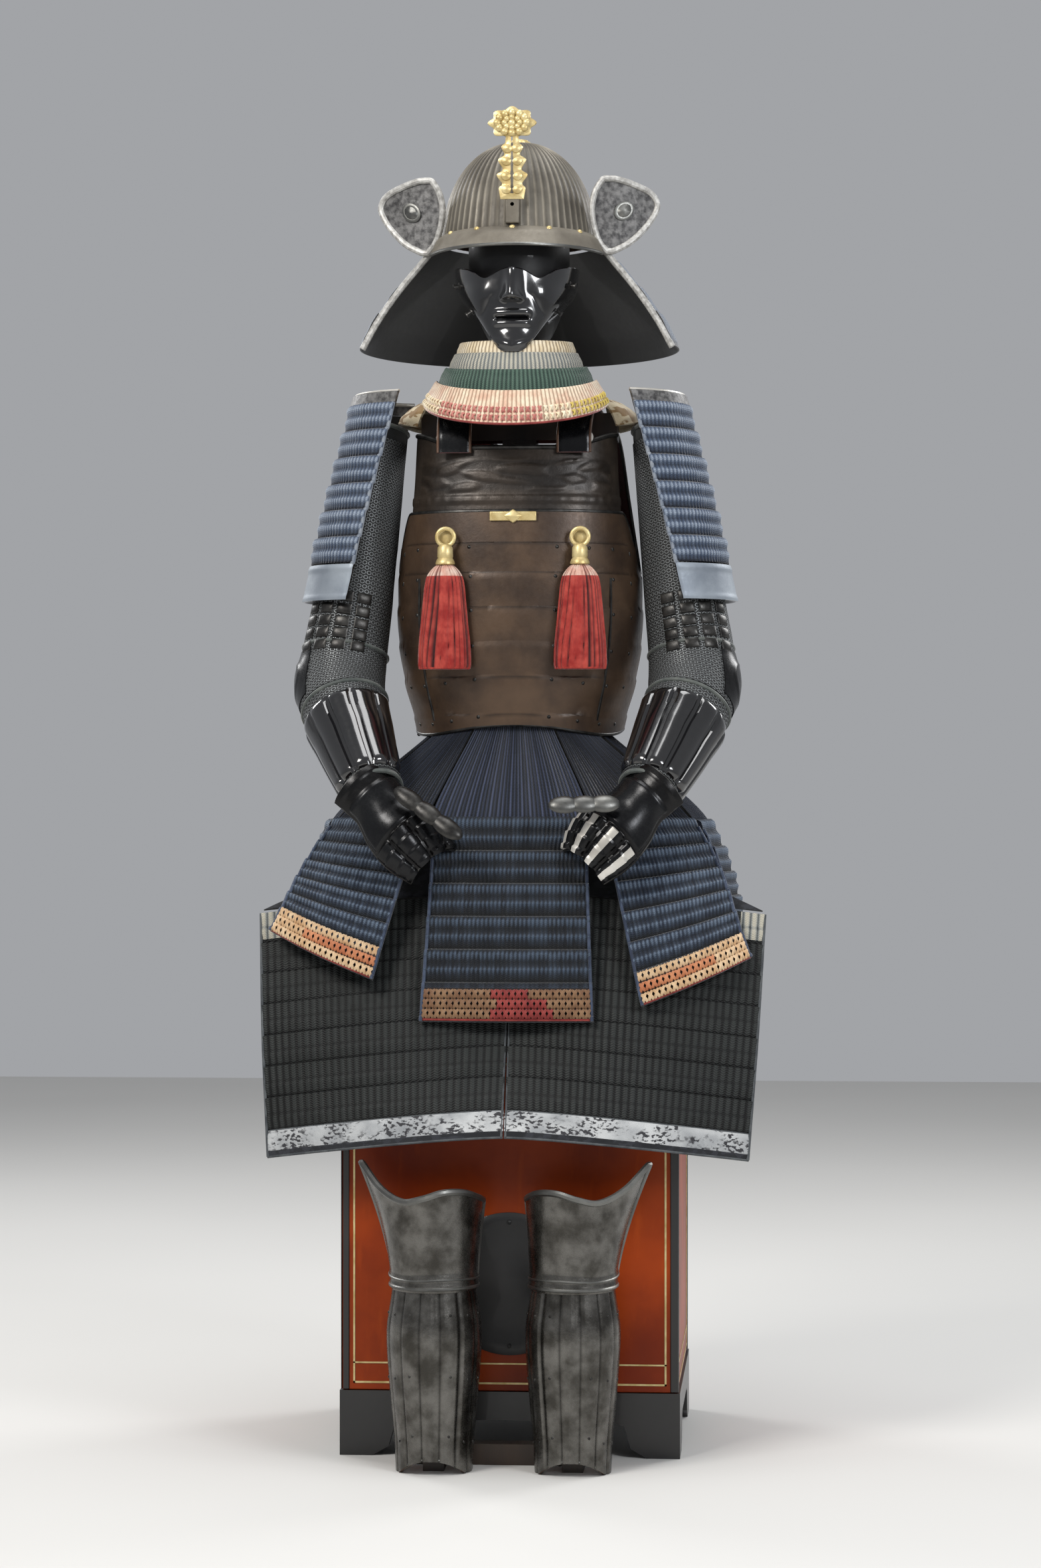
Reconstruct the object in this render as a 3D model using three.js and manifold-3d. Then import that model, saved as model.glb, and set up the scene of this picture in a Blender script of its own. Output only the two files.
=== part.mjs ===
// A suit of samurai armour (tosei gusoku), dressed on its wooden stand over its armour chest.
//
// Helmet with neck guard, face mask with throat guard, riveted cuirass with seven laced tassets, two
// shoulder guards, two armoured sleeves, a thigh apron, two shin guards with winged knee guards, and
// the plain stand and lacquered chest that carry them. The suit is empty: each garment is a thin
// wall, open at its neck, cuffs, armholes and hem.
//
// Millimetres, +Z up. The armour faces -Y, and the wearer's left is +X. It is drawn about the line of
// the stand's post, and moved at the end so that the origin is on the floor under its middle.
import * as THREE from "three";
import { mergeVertices } from "three/addons/utils/BufferGeometryUtils.js";
import Module from "manifold-3d";

const wasm = await Module();
wasm.setup();

// ---------------------------------------------------------------- shared dimensions
const gap = 0.4; // between pieces that touch
const plate = 2; // an iron or rawhide plate
const clothWall = 2; // a lined sleeve or apron
const lacedFoot = 2.6; // a laced wall at the foot of a lame
const lacedHead = 5.8; // and at its head, which stands out over the lame above
const stepRise = 1.2; // height over which a laced wall steps out to the next lame
const sides = { left: 1, right: -1 };

const finish = (color, roughness, metalness) =>
  new THREE.MeshStandardMaterial({ color, roughness, metalness });
const finishes = {
  helmetIron: finish(0x5d564d, 0.5, 0.8),
  blackLacquer: finish(0x0c0c0e, 0.18, 0.1),
  russetLacquer: finish(0x4a3a2c, 0.42, 0.3),
  paleSilk: finish(0xd9cdb4, 0.7, 0),
  greenSilk: finish(0x4f6f68, 0.75, 0),
  blueLacing: finish(0x2c3a58, 0.8, 0),
  darkLacing: finish(0x23282c, 0.75, 0),
  sleeveCloth: finish(0x1d2420, 0.9, 0),
  gilt: finish(0xd8b45a, 0.3, 1),
  redSilk: finish(0xc23a34, 0.6, 0),
  silverBrocade: finish(0xb9bcc0, 0.5, 0.3),
  shinIron: finish(0x6f6c66, 0.35, 0.9),
  orangeLacquer: finish(0xb4441a, 0.3, 0),
  standWood: finish(0x18130f, 0.5, 0),
};

// ---------------------------------------------------------------- small tools
const { lerp, degToRad, smoothstep, clamp } = THREE.MathUtils;
const sin = (degrees) => Math.sin(degToRad(degrees));
const cos = (degrees) => Math.cos(degToRad(degrees));
const vec = (x, y, z) => new THREE.Vector3(x, y, z);

// count + 1 values from first to last.
const steps = (first, last, count) =>
  Array.from({ length: count + 1 }, (_, i) => lerp(first, last, i / count));

// Reads one column of a table at a value of its key column, on a smooth curve through the rows.
function reading(table, key, at, column) {
  const rising = table[0][key] < table.at(-1)[key];
  const rows = rising ? table : [...table].reverse();
  const value = clamp(at, rows[0][key], rows.at(-1)[key]);
  const found = rows.findIndex((row, i) => i > 0 && value <= row[key]);
  const [low, high] = [rows[found - 1], rows[found]];
  const before = rows[Math.max(found - 2, 0)];
  const after = rows[Math.min(found + 1, rows.length - 1)];
  const slope = (a, b) => (b[column] - a[column]) / (b[key] - a[key]);
  const span = high[key] - low[key];
  const t = (value - low[key]) / span;
  const fromLow = (2 * t ** 3 - 3 * t ** 2 + 1) * low[column];
  const toHigh = (3 * t ** 2 - 2 * t ** 3) * high[column];
  const lowPull = (t ** 3 - 2 * t ** 2 + t) * slope(before, high) * span;
  const highPull = (t ** 3 - t ** 2) * slope(low, after) * span;
  return fromLow + toHigh + lowPull + highPull;
}

// The point x, y, z that a table gives at a value of its key column.
const pointOf = (table, key, at) =>
  vec(...["x", "y", "z"].map((column) => reading(table, key, at, column)));

// A closed geometry from vertices and triangles, turned so that its faces point out.
function solid(points, triangles) {
  const volume = triangles.reduce(
    (sum, [a, b, c]) => sum + points[a].dot(points[b].clone().cross(points[c])),
    0,
  );
  const faces = volume < 0 ? triangles.map(([a, b, c]) => [a, c, b]) : triangles;
  return new THREE.BufferGeometry().setFromPoints(points).setIndex(faces.flat());
}

// A wall over a grid of columns us and rows {v, inner, outer}. surface(u, v) is a point of the wall's
// own sheet; inner and outer are how far its two faces stand off that sheet, away from inside.
function wall({ us, rows, surface, inside = (point) => vec(0, 0, point.z), closed = false }) {
  const du = (us.at(-1) - us[0]) * 1e-3;
  const dv = (rows.at(-1).v - rows[0].v) * 1e-3;
  const points = [];
  for (const face of ["outer", "inner"]) {
    for (const row of rows) {
      for (const u of us) {
        const point = surface(u, row.v);
        const across = surface(u + du, row.v).sub(surface(u - du, row.v));
        const along = surface(u, row.v + dv).sub(surface(u, row.v - dv));
        const normal = across.cross(along).normalize();
        const away = point.clone().sub(inside(point, u, row.v));
        points.push(point.addScaledVector(normal, row[face] * Math.sign(normal.dot(away))));
      }
    }
  }
  const cols = us.length;
  const layer = rows.length * cols;
  const foot = (rows.length - 1) * cols;
  const spans = closed ? cols : cols - 1;
  const triangles = [];
  const quad = (a, b, c, d) => triangles.push([a, b, c], [a, c, d]);
  for (let i = 0; i < spans; i++) {
    const next = (i + 1) % cols;
    for (let j = 0; j < rows.length - 1; j++) {
      const [a, b] = [j * cols + i, j * cols + next];
      quad(a, b, b + cols, a + cols);
      quad(a + layer, a + cols + layer, b + cols + layer, b + layer);
    }
    quad(i, i + layer, next + layer, next);
    quad(i + foot, next + foot, next + foot + layer, i + foot + layer);
  }
  for (let j = 0; j < rows.length - 1 && !closed; j++) {
    const [a, b] = [j * cols, j * cols + cols - 1];
    quad(a, a + cols, a + cols + layer, a + layer);
    quad(b, b + layer, b + cols + layer, b + cols);
  }
  return solid(points, triangles);
}

// Rows of a plain wall, its inner face standing off by base.
const plainRows = (vs, thickness, base = 0) =>
  vs.map((v) => ({ v, inner: base, outer: base + thickness }));

// Rows of overlapping lames between edges: each is thick at its head and thins to its foot, so that
// the head of the next stands out over it.
function lameRows(edges, step, base = 0) {
  const rows = [];
  edges.slice(0, -1).forEach((top, i) => {
    const foot = i === edges.length - 2 ? edges[i + 1] : edges[i + 1] - step;
    rows.push({ v: top, inner: base, outer: base + lacedHead });
    rows.push({ v: foot, inner: base, outer: base + lacedFoot });
  });
  return rows;
}

// A point x, y of an oval ring: 0 degrees is the front, and a square of 1 is an ellipse.
function oval(angle, halfWidth, depth, square = 1) {
  const round = (value) => Math.sign(value) * Math.abs(value) ** (1 / square);
  return [halfWidth * round(sin(angle)), -depth * round(cos(angle))];
}

// ---------------------------------------------------------------- booleans
function manifoldOf(geometry) {
  const bare = geometry.clone();
  bare.deleteAttribute("normal");
  bare.deleteAttribute("uv");
  const merged = mergeVertices(bare, 1e-3);
  const triVerts = new Uint32Array(merged.index.array);
  const vertProperties = new Float32Array(merged.attributes.position.array);
  return new wasm.Manifold(new wasm.Mesh({ numProp: 3, vertProperties, triVerts }));
}

function geometryOf(manifold) {
  const mesh = manifold.getMesh();
  const geometry = new THREE.BufferGeometry();
  geometry.setAttribute("position", new THREE.BufferAttribute(mesh.vertProperties, 3));
  return geometry.setIndex(new THREE.BufferAttribute(mesh.triVerts, 1));
}

const joined = (...parts) =>
  geometryOf(parts.map(manifoldOf).reduce((whole, part) => whole.add(part)));
const cut = (whole, ...tools) =>
  geometryOf(tools.map(manifoldOf).reduce((rest, tool) => rest.subtract(tool), manifoldOf(whole)));

// A box by its lowest and highest corners.
function block([x0, y0, z0], [x1, y1, z1]) {
  const box = new THREE.BoxGeometry(x1 - x0, y1 - y0, z1 - z0);
  return box.translate((x0 + x1) / 2, (y0 + y1) / 2, (z0 + z1) / 2);
}

// A piece turned about the vertical; its profile is [radius, z] from the foot up.
function turned(profile, segments) {
  const points = profile.map(([radius, z]) => new THREE.Vector2(radius, z));
  return new THREE.LatheGeometry(points, segments).rotateX(Math.PI / 2);
}

// A flat plate in the XZ plane: its outline is [x, z] points, and its front face stands at y.
function flatPlate(outline, y, thickness) {
  const shape = new THREE.Shape(outline.map(([x, z]) => new THREE.Vector2(x, z)));
  const plateGeometry = new THREE.ExtrudeGeometry(shape, { depth: thickness, bevelEnabled: false });
  return plateGeometry.rotateX(Math.PI / 2).translate(0, y + thickness, 0);
}

// ---------------------------------------------------------------- the group
const armour = new THREE.Group();
armour.name = "samurai_armour_on_chest_stand";

function add(name, geometry, material) {
  const mesh = new THREE.Mesh(geometry, material);
  mesh.name = name;
  armour.add(mesh);
}

// Adds a left and a right piece; make(side) gives the geometry, with side +1 on the left.
function addPair(name, material, make) {
  for (const [word, side] of Object.entries(sides)) {
    add(`${name}_${word}`, make(side), material);
  }
}

// The surface, or the reference point inside it, that was worked out for the left, on either side.
const onSide = (side, surface) => (...at) => {
  const point = surface(...at);
  point.x *= side;
  return point;
};

// ---------------------------------------------------------------- the chest
const chest = {
  halfWidth: 212,
  halfDepth: 190,
  baseTop: 82,
  top: 540,
  board: 12,
  lidTop: 556,
  lidSkirt: 36,
  lidWall: 8,
  footWidth: 62,
  footArch: 46,
  roundelHeight: 218,
  roundelRadius: 90,
};

function chestBody() {
  const { halfWidth: w, halfDepth: d, board, baseTop, top } = chest;
  const floor = baseTop + gap;
  return cut(
    block([-w, -d, floor], [w, d, top]),
    block([-w + board, -d + board, floor + board], [w - board, d - board, top + board]),
  );
}

function chestLid() {
  const { halfWidth: w, halfDepth: d, top, lidTop, lidSkirt, lidWall } = chest;
  const [x, y] = [w + gap + lidWall, d + gap + lidWall];
  return cut(
    block([-x, -y, top - lidSkirt], [x, y, lidTop]),
    block([-w - gap, -d - gap, top - lidSkirt - 1], [w + gap, d + gap, top + gap]),
  );
}

// The plinth is hollow below, with a low arch between the feet of each side.
function chestBase() {
  const { halfWidth: w, halfDepth: d, baseTop, footWidth, footArch, board } = chest;
  const [x, y] = [w + 3, d + 3];
  return cut(
    block([-x, -y, 0], [x, y, baseTop]),
    block([-x + board * 2, -y + board * 2, -1], [x - board * 2, y - board * 2, baseTop - board]),
    block([-x + footWidth, -y - 1, -1], [x - footWidth, y + 1, footArch]),
    block([-x - 1, -y + footWidth, -1], [x + 1, y - footWidth, footArch]),
  );
}

function chestRoundel() {
  const { halfDepth, roundelRadius, roundelHeight } = chest;
  const disc = new THREE.CylinderGeometry(roundelRadius, roundelRadius, plate, 28);
  return disc.translate(0, -halfDepth - gap - plate / 2, roundelHeight);
}

add("chest_base", chestBase(), finishes.blackLacquer);
add("chest_body", chestBody(), finishes.orangeLacquer);
add("chest_lid", chestLid(), finishes.blackLacquer);
add("chest_roundel", chestRoundel(), finishes.blackLacquer);

// ---------------------------------------------------------------- the stand
const stand = {
  post: 22, // half its side
  footHalf: 110,
  footTop: 574,
  yokeLow: 1296,
  yokeHigh: 1331,
  yokeHalf: 128,
  yokeDeep: 24,
  neckTop: 1412,
  headHeight: 268,
  headHalfWidth: 66,
  headHalfDepth: 84,
  headY: -22,
  lapLow: 640,
  lapHigh: 656,
  shinX: 86,
  shinY: -285,
  shinPost: 13,
  shinPostTop: 296,
};

function standPost() {
  const { post, footHalf, footTop, yokeLow, yokeHigh, yokeHalf, yokeDeep, neckTop } = stand;
  const foot = chest.lidTop + gap;
  return joined(
    block([-footHalf, -footHalf, foot], [footHalf, footHalf, footTop]),
    block([-post, -post, foot], [post, post, neckTop]),
    block([-yokeHalf, -yokeDeep, yokeLow], [yokeHalf, yokeDeep, yokeHigh]),
  );
}

// A plain rounded block that carries the helmet and the mask.
function standHead() {
  const { neckTop, headHeight, headHalfWidth, headHalfDepth, headY, post } = stand;
  const [foot, half] = [neckTop + gap, headHeight / 2];
  const flat = Math.asin((post + 6) / headHalfWidth);
  const profile = steps(flat - Math.PI / 2, Math.PI / 2, 7).map((t) => [
    headHalfWidth * Math.cos(t),
    foot + half * (Math.sin(t) + Math.cos(flat)),
  ]);
  profile[profile.length - 1][0] = 0;
  const head = turned([[0, foot], ...profile], 16);
  return head.scale(1, headHalfDepth / headHalfWidth, 1).translate(0, headY, 0);
}

// A board on two risers, over which the thigh apron lies.
function lapBoard() {
  const { lapLow, lapHigh } = stand;
  const outline = [
    [-250, -36], [250, -36], [250, -128], [215, -148], [150, -160],
    [-150, -160], [-215, -148], [-250, -128],
  ];
  const shape = new THREE.Shape(outline.map(([x, y]) => new THREE.Vector2(x, y)));
  const settings = { depth: lapHigh - lapLow, bevelEnabled: false };
  const board = new THREE.ExtrudeGeometry(shape, settings).translate(0, 0, lapLow);
  const foot = chest.lidTop + gap;
  const risers = [-1, 1].map((side) =>
    block([side * 160 - 20, -150, foot], [side * 160 + 20, -44, lapLow + 1]),
  );
  return joined(board, ...risers);
}

// A low bar on the floor behind the shin guards, with an arm and a post inside each of them.
function shinStand() {
  const { shinX, shinY, shinPost, shinPostTop } = stand;
  const [barFront, barBack, barTop] = [shinY + 34, shinY + 62, 26];
  const posts = [-1, 1].flatMap((side) => [
    block(
      [side * shinX - shinPost, shinY - shinPost, 0],
      [side * shinX + shinPost, barFront + 1, barTop],
    ),
    block(
      [side * shinX - shinPost, shinY - shinPost, 0],
      [side * shinX + shinPost, shinY + shinPost, shinPostTop],
    ),
  ]);
  return joined(block([-shinX - 26, barFront, 0], [shinX + 26, barBack, barTop]), ...posts);
}

add("stand_post", standPost(), finishes.standWood);
add("stand_head", standHead(), finishes.standWood);
add("stand_lap_board", lapBoard(), finishes.standWood);
add("stand_shin_bar", shinStand(), finishes.standWood);

// ---------------------------------------------------------------- the helmet
const helmet = {
  y: -15,
  halfWidth: 98,
  depth: 120,
  rim: 1556,
  height: 126,
  crownEdge: 84, // how far up the dome the plates end, in degrees
  brimAngle: 70,
  brimHalfWidth: 118,
  brimDepth: 150,
  brimEdge: 1532,
  neckAngle: 104, // half of the neck guard's sweep, from the middle of the back
  neckLames: 4,
  neckOverlap: 7,
};
const neckFlare = [
  { z: 1553, halfWidth: 104, depth: 126 },
  { z: 1530, halfWidth: 122, depth: 146 },
  { z: 1485, halfWidth: 157, depth: 171 },
  { z: 1446, halfWidth: 182, depth: 190 },
  { z: 1412, halfWidth: 199, depth: 203 },
];
const turnback = [
  { z: 1537, near: 116, far: 124 },
  { z: 1548, near: 107, far: 144 },
  { z: 1568, near: 100, far: 164 },
  { z: 1588, near: 97, far: 177 },
  { z: 1602, near: 98, far: 180 },
  { z: 1616, near: 102, far: 170 },
  { z: 1626, near: 108, far: 146 },
  { z: 1631, near: 112, far: 128 },
];

function helmetPoint(angle, halfWidth, depth, z) {
  const [x, y] = oval(angle, halfWidth, depth);
  return vec(x, y + helmet.y, z);
}

function helmetBowl() {
  const { halfWidth, depth, rim, height, crownEdge } = helmet;
  const surface = (u, v) => {
    const share = cos(v) ** 0.93;
    return helmetPoint(u, halfWidth * share, depth * share, rim + height * sin(v));
  };
  return wall({
    us: steps(0, 342, 19),
    rows: plainRows(steps(0, crownEdge, 6), plate),
    surface,
    inside: () => vec(0, helmet.y, rim - 60),
    closed: true,
  });
}

function helmetBrim() {
  const { halfWidth, depth, rim, brimAngle, brimHalfWidth, brimDepth, brimEdge } = helmet;
  const clear = plate + gap + 0.5;
  const surface = (u, v) => {
    const near = helmetPoint(u, halfWidth + clear, depth + clear, rim + 2);
    const far = helmetPoint(u, brimHalfWidth, brimDepth, brimEdge);
    const point = near.lerp(far, v);
    point.z += 5 * sin(180 * v);
    return point;
  };
  return wall({
    us: steps(-brimAngle, brimAngle, 14),
    rows: plainRows([0, 0.5, 1], plate),
    surface,
    inside: () => vec(0, helmet.y, rim - 160),
  });
}

function neckLame(index) {
  const { neckAngle, neckLames, neckOverlap } = helmet;
  const [top, bottom] = [neckFlare[0].z, neckFlare.at(-1).z];
  const edges = steps(top, bottom, neckLames);
  const head = index === 0 ? edges[0] : edges[index] + neckOverlap;
  const flare = (z, column) => reading(neckFlare, "z", z, column);
  const surface = (u, z) => helmetPoint(u, flare(z, "halfWidth"), flare(z, "depth"), z);
  return wall({
    us: steps(180 - neckAngle, 180 + neckAngle, 16),
    rows: plainRows([head, edges[index + 1]], plate, index * (plate + gap + 0.2)),
    surface,
    inside: (point) => vec(0, helmet.y, point.z - 60),
  });
}

// The front ends of the top lame, folded back beside the bowl as a leaf.
function helmetTurnback(side) {
  const surface = (u, z) => {
    const x = lerp(reading(turnback, "z", z, "near"), reading(turnback, "z", z, "far"), u);
    const sweep = (x - 97) / 83;
    return vec(x, -58 + 30 * sweep - 6 * sin(180 * sweep), z);
  };
  return wall({
    us: steps(0, 1, 5),
    rows: plainRows(turnback.map((row) => row.z), plate),
    surface: onSide(side, surface),
    inside: () => vec(0, 200, 1590),
  });
}

// A gilt finial for the front of the helmet: a lobed knob on a stem with three pairs of leaves.
function helmetCrest() {
  const [knobZ, knobRadius, lobes, foot] = [1689, 26, 8, 1592];
  const half = [
    [15, foot], [17, foot + 14], [13, foot + 20], [20, foot + 31], [12, foot + 38],
    [18, foot + 50], [10, foot + 57], [14, foot + 66], [9, foot + 72],
  ];
  const knob = steps(-72, 252, 4 * lobes).map((angle) => {
    const radius = knobRadius + 2.5 * cos(lobes * (angle - 90));
    return [radius * 1.1 * cos(angle), knobZ + radius * 0.76 * sin(angle)];
  });
  const left = half.map(([x, z]) => [-x, z]).reverse();
  return flatPlate([...half, ...knob, ...left], -148, 2.5);
}

add("helmet_bowl", helmetBowl(), finishes.helmetIron);
add("helmet_brim", helmetBrim(), finishes.helmetIron);
add("helmet_crest", helmetCrest(), finishes.gilt);
steps(0, helmet.neckLames - 1, helmet.neckLames - 1).forEach((index) => {
  add(`neck_lame_${index + 1}`, neckLame(index), finishes.helmetIron);
});
addPair("helmet_turnback", finishes.helmetIron, helmetTurnback);

// ---------------------------------------------------------------- mask and throat guard
const face = { y: -62, sweep: 92, noseWidth: 9, noseOut: 20 };
const maskRings = [
  { v: 0, halfWidth: 79, depth: 88, square: 1 },
  { v: 0.3, halfWidth: 77, depth: 88, square: 1 },
  { v: 0.55, halfWidth: 71, depth: 88, square: 1.04 },
  { v: 0.78, halfWidth: 58, depth: 88, square: 1.06 },
  { v: 1, halfWidth: 40, depth: 90, square: 1.1 },
];
const throatLames = [
  { top: 1407, topLift: 6, foot: 1391, footLift: 8, halfWidth: 68, depth: 80, out: 6 },
  { top: 1396, topLift: 8, foot: 1368, footLift: 14, halfWidth: 77, depth: 89, out: 9 },
  { top: 1373, topLift: 14, foot: 1340, footLift: 26, halfWidth: 89, depth: 101, out: 10 },
  { top: 1345, topLift: 26, foot: 1301, footLift: 40, halfWidth: 102, depth: 114, out: 17 },
];

function mask() {
  const bell = (value, middle, width) => Math.exp(-(((value - middle) / width) ** 2));
  const surface = (u, v) => {
    const ring = (column) => reading(maskRings, "v", v, column);
    const top = 1503 - 12 * bell(Math.abs(u), 26, 12) + 7 * smoothstep(Math.abs(u), 30, 75);
    const foot = 1399 + 46 * smoothstep(Math.abs(u), 8, 80);
    const [x, y] = oval(u, ring("halfWidth"), ring("depth"), ring("square"));
    const z = lerp(top, foot, v);
    const nose = face.noseOut * bell(x, 0, face.noseWidth) * smoothstep(z, 1461, 1467) *
      lerp(1, 0.45, smoothstep(z, 1468, 1504));
    const cheek = 5 * bell(Math.abs(x), 44, 18) * bell(z, 1473, 16);
    const chin = 5 * bell(x, 0, 20) * bell(z, 1410, 12);
    return vec(x, y + face.y - nose - cheek - chin, z);
  };
  const half = [6, 12, 19, 27, 37, 49, 62, 77, face.sweep];
  const shell = wall({
    us: [...half.map((u) => -u).reverse(), 0, ...half],
    rows: plainRows(steps(0, 1, 10), plate),
    surface,
    inside: (point) => vec(0, face.y + 40, point.z),
  });
  const mouth = new THREE.CylinderGeometry(1, 1, 60, 12).scale(22, 1, 4.5);
  return cut(shell, mouth.translate(0, face.y - 90, 1441));
}

function throatLame({ top, topLift, foot, footLift, halfWidth, depth, out }) {
  const surface = (u, v) => {
    const z = lerp(top + topLift * (1 - cos(u)), foot + footLift * (1 - cos(u)), v);
    const [x, y] = oval(u, halfWidth + out * v, depth + out * v);
    return vec(x, y + face.y, z);
  };
  return wall({
    us: steps(-84, 84, 12),
    rows: plainRows([0, 1], 2.4),
    surface,
    inside: (point) => vec(0, face.y, point.z - 20),
  });
}

add("mask", mask(), finishes.blackLacquer);
throatLames.forEach((lame, index) => {
  const silk = index === 0 || index === 3 ? finishes.paleSilk : finishes.greenSilk;
  add(`throat_lame_${index + 1}`, throatLame(lame), silk);
});

// ---------------------------------------------------------------- the cuirass
const cuirassRings = [
  { z: 898, halfWidth: 134, front: 122, back: 112, square: 1.1 },
  { z: 925, halfWidth: 134, front: 123, back: 113, square: 1.1 },
  { z: 980, halfWidth: 148, front: 132, back: 122, square: 1.1 },
  { z: 1045, halfWidth: 157, front: 136, back: 126, square: 1.12 },
  { z: 1120, halfWidth: 156, front: 134, back: 126, square: 1.16 },
  { z: 1195, halfWidth: 149, front: 127, back: 123, square: 1.3 },
  { z: 1240, halfWidth: 145, front: 120, back: 121, square: 1.35 },
  { z: 1300, halfWidth: 142, front: 112, back: 117, square: 1.35 },
  { z: 1340, halfWidth: 138, front: 104, back: 112, square: 1.3 },
];
const cuirass = {
  seam: 0.35, // half the gap at each side seam, in degrees
  frontTop: 1197,
  armhole: 1124, // the height of the top edge under the arm
  waist: 918,
  backTop: 1322,
  breastLow: 1189,
  breastMiddle: 1279,
  breastSide: 1298,
  breastSweep: 63,
};

function cuirassPoint(angle, z) {
  const ring = (column) => reading(cuirassRings, "z", z, column);
  const depth = cos(angle) > 0 ? ring("front") : ring("back");
  return vec(...oval(angle, ring("halfWidth"), depth, ring("square")), z);
}

// The foot of the cuirass waves: high at the middle of the front and back, low beside them.
const waistEdge = (angle) => cuirass.waist + 6 * cos(angle * 3.2 * Math.sign(cos(angle)));

function cuirassFront() {
  const { seam, frontTop, armhole } = cuirass;
  const surface = (u, v) => {
    const top = lerp(frontTop, armhole, smoothstep(Math.abs(u), 62, 86));
    return cuirassPoint(u, lerp(waistEdge(u), top, v));
  };
  return wall({
    us: steps(-90 + seam, 90 - seam, 18),
    rows: plainRows(steps(0, 1, 6), plate),
    surface,
  });
}

function cuirassBack() {
  const { seam, backTop, armhole } = cuirass;
  const surface = (u, v) => {
    const fromSeam = 90 - Math.abs(u - 180);
    const neck = 26 * smoothstep(Math.abs(u - 180), 4, 26) - 26;
    const top = lerp(armhole, backTop, smoothstep(fromSeam, 4, 38)) + neck;
    return cuirassPoint(u, lerp(waistEdge(u), top, v));
  };
  return wall({
    us: steps(90 + seam, 270 - seam, 18),
    rows: plainRows(steps(0, 1, 6), plate),
    surface,
  });
}

// The top plate of the breast, behind the head of the front.
function breastPlate() {
  const { breastLow, breastMiddle, breastSide, breastSweep } = cuirass;
  const surface = (u, v) => {
    const top = lerp(breastMiddle, breastSide, smoothstep(Math.abs(u), 14, breastSweep));
    return cuirassPoint(u, lerp(breastLow, top, v));
  };
  return wall({
    us: steps(-breastSweep, breastSweep, 12),
    rows: plainRows(steps(0, 1, 3), plate, -plate - 3 * gap),
    surface,
  });
}

const strapPath = [
  { v: 0, x: 77, y: -115, z: 1272 },
  { v: 0.16, x: 77, y: -110, z: 1300 },
  { v: 0.36, x: 79, y: -70, z: 1327 },
  { v: 0.55, x: 82, y: 0, z: 1335 },
  { v: 0.8, x: 85, y: 72, z: 1333 },
  { v: 1, x: 87, y: 108, z: 1325 },
];

function shoulderStrap(side) {
  const surface = (u, v) => pointOf(strapPath, "v", v).add(vec(u, 0, 0));
  return wall({
    us: [-22, 0, 22],
    rows: plainRows(steps(0, 1, 8), 5),
    surface: onSide(side, surface),
    inside: (point) => vec(point.x, 0, 1200),
  });
}

// A small padded flap on each shoulder, outside the strap.
function shoulderWing(side) {
  const surface = (u, v) => {
    const reach = 46 * Math.sqrt(1 - (u / 56) ** 2);
    return vec(111 + reach * v, u - 10, 1343 - 0.0024 * u * u - 26 * v * v);
  };
  return wall({
    us: steps(-52, 52, 8),
    rows: plainRows(steps(0, 1, 3), 5),
    surface: onSide(side, surface),
    inside: () => vec(side * 110, 0, 1200),
  });
}

const tassel = { x: 86, ringY: -135, y: -143, ringZ: 1163, capTop: 1154, capFoot: 1128, foot: 995 };

// A ring on the breast, with the tassel that hangs from it in a bell-shaped cap.
function ringAndTassel(side) {
  const { x, ringY, y, ringZ, capTop, capFoot, foot } = tassel;
  const ring = new THREE.TorusGeometry(11, 2.8, 6, 14).rotateX(Math.PI / 2);
  const cap = turned([[0, capFoot], [12, capFoot], [12, capFoot + 4], [9, capFoot + 9],
    [9, capFoot + 20], [5, capTop], [0, capTop]], 10);
  const strands = turned([[0, foot], [31, foot], [33.5, foot + 14], [33, foot + 60],
    [30, capFoot - 18], [25, capFoot - 7], [15, capFoot], [8, capFoot + 2], [0, capFoot + 2]], 12);
  return joined(
    ring.translate(side * x, ringY, ringZ),
    cap.translate(side * x, y + 3, 0),
    strands.scale(1, 0.52, 1).translate(side * x, y, 0),
  );
}

add("cuirass_front", cuirassFront(), finishes.russetLacquer);
add("cuirass_back", cuirassBack(), finishes.russetLacquer);
add("breast_plate", breastPlate(), finishes.russetLacquer);
addPair("shoulder_strap", finishes.russetLacquer, shoulderStrap);
addPair("shoulder_wing", finishes.paleSilk, shoulderWing);
addPair("tassel", finishes.redSilk, ringAndTassel);

// ---------------------------------------------------------------- shoulder guards
const guard = {
  radius: 105,
  sweep: 68,
  y: -15,
  top: 1353,
  topPlate: 15,
  lames: 6,
  lame: 34.5,
  bottomPlate: 46,
};
const guardReach = [
  { z: 1353, x: 213 },
  { z: 1223, x: 248 },
  { z: 1085, x: 282 },
];

function shoulderGuard(side) {
  const { radius, sweep, y, top, topPlate, lames, lame, bottomPlate } = guard;
  const surface = (u, z) =>
    vec(reading(guardReach, "z", z, "x") - radius * (1 - cos(u)), y + radius * sin(u), z);
  const laced = steps(top - topPlate, top - topPlate - lames * lame, lames);
  return wall({
    us: steps(-sweep, sweep, 8),
    rows: lameRows([top, ...laced, laced.at(-1) - bottomPlate], stepRise),
    surface: onSide(side, surface),
    inside: (point) => vec(side * 100, y, point.z),
  });
}

addPair("shoulder_guard", finishes.blueLacing, shoulderGuard);

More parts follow.
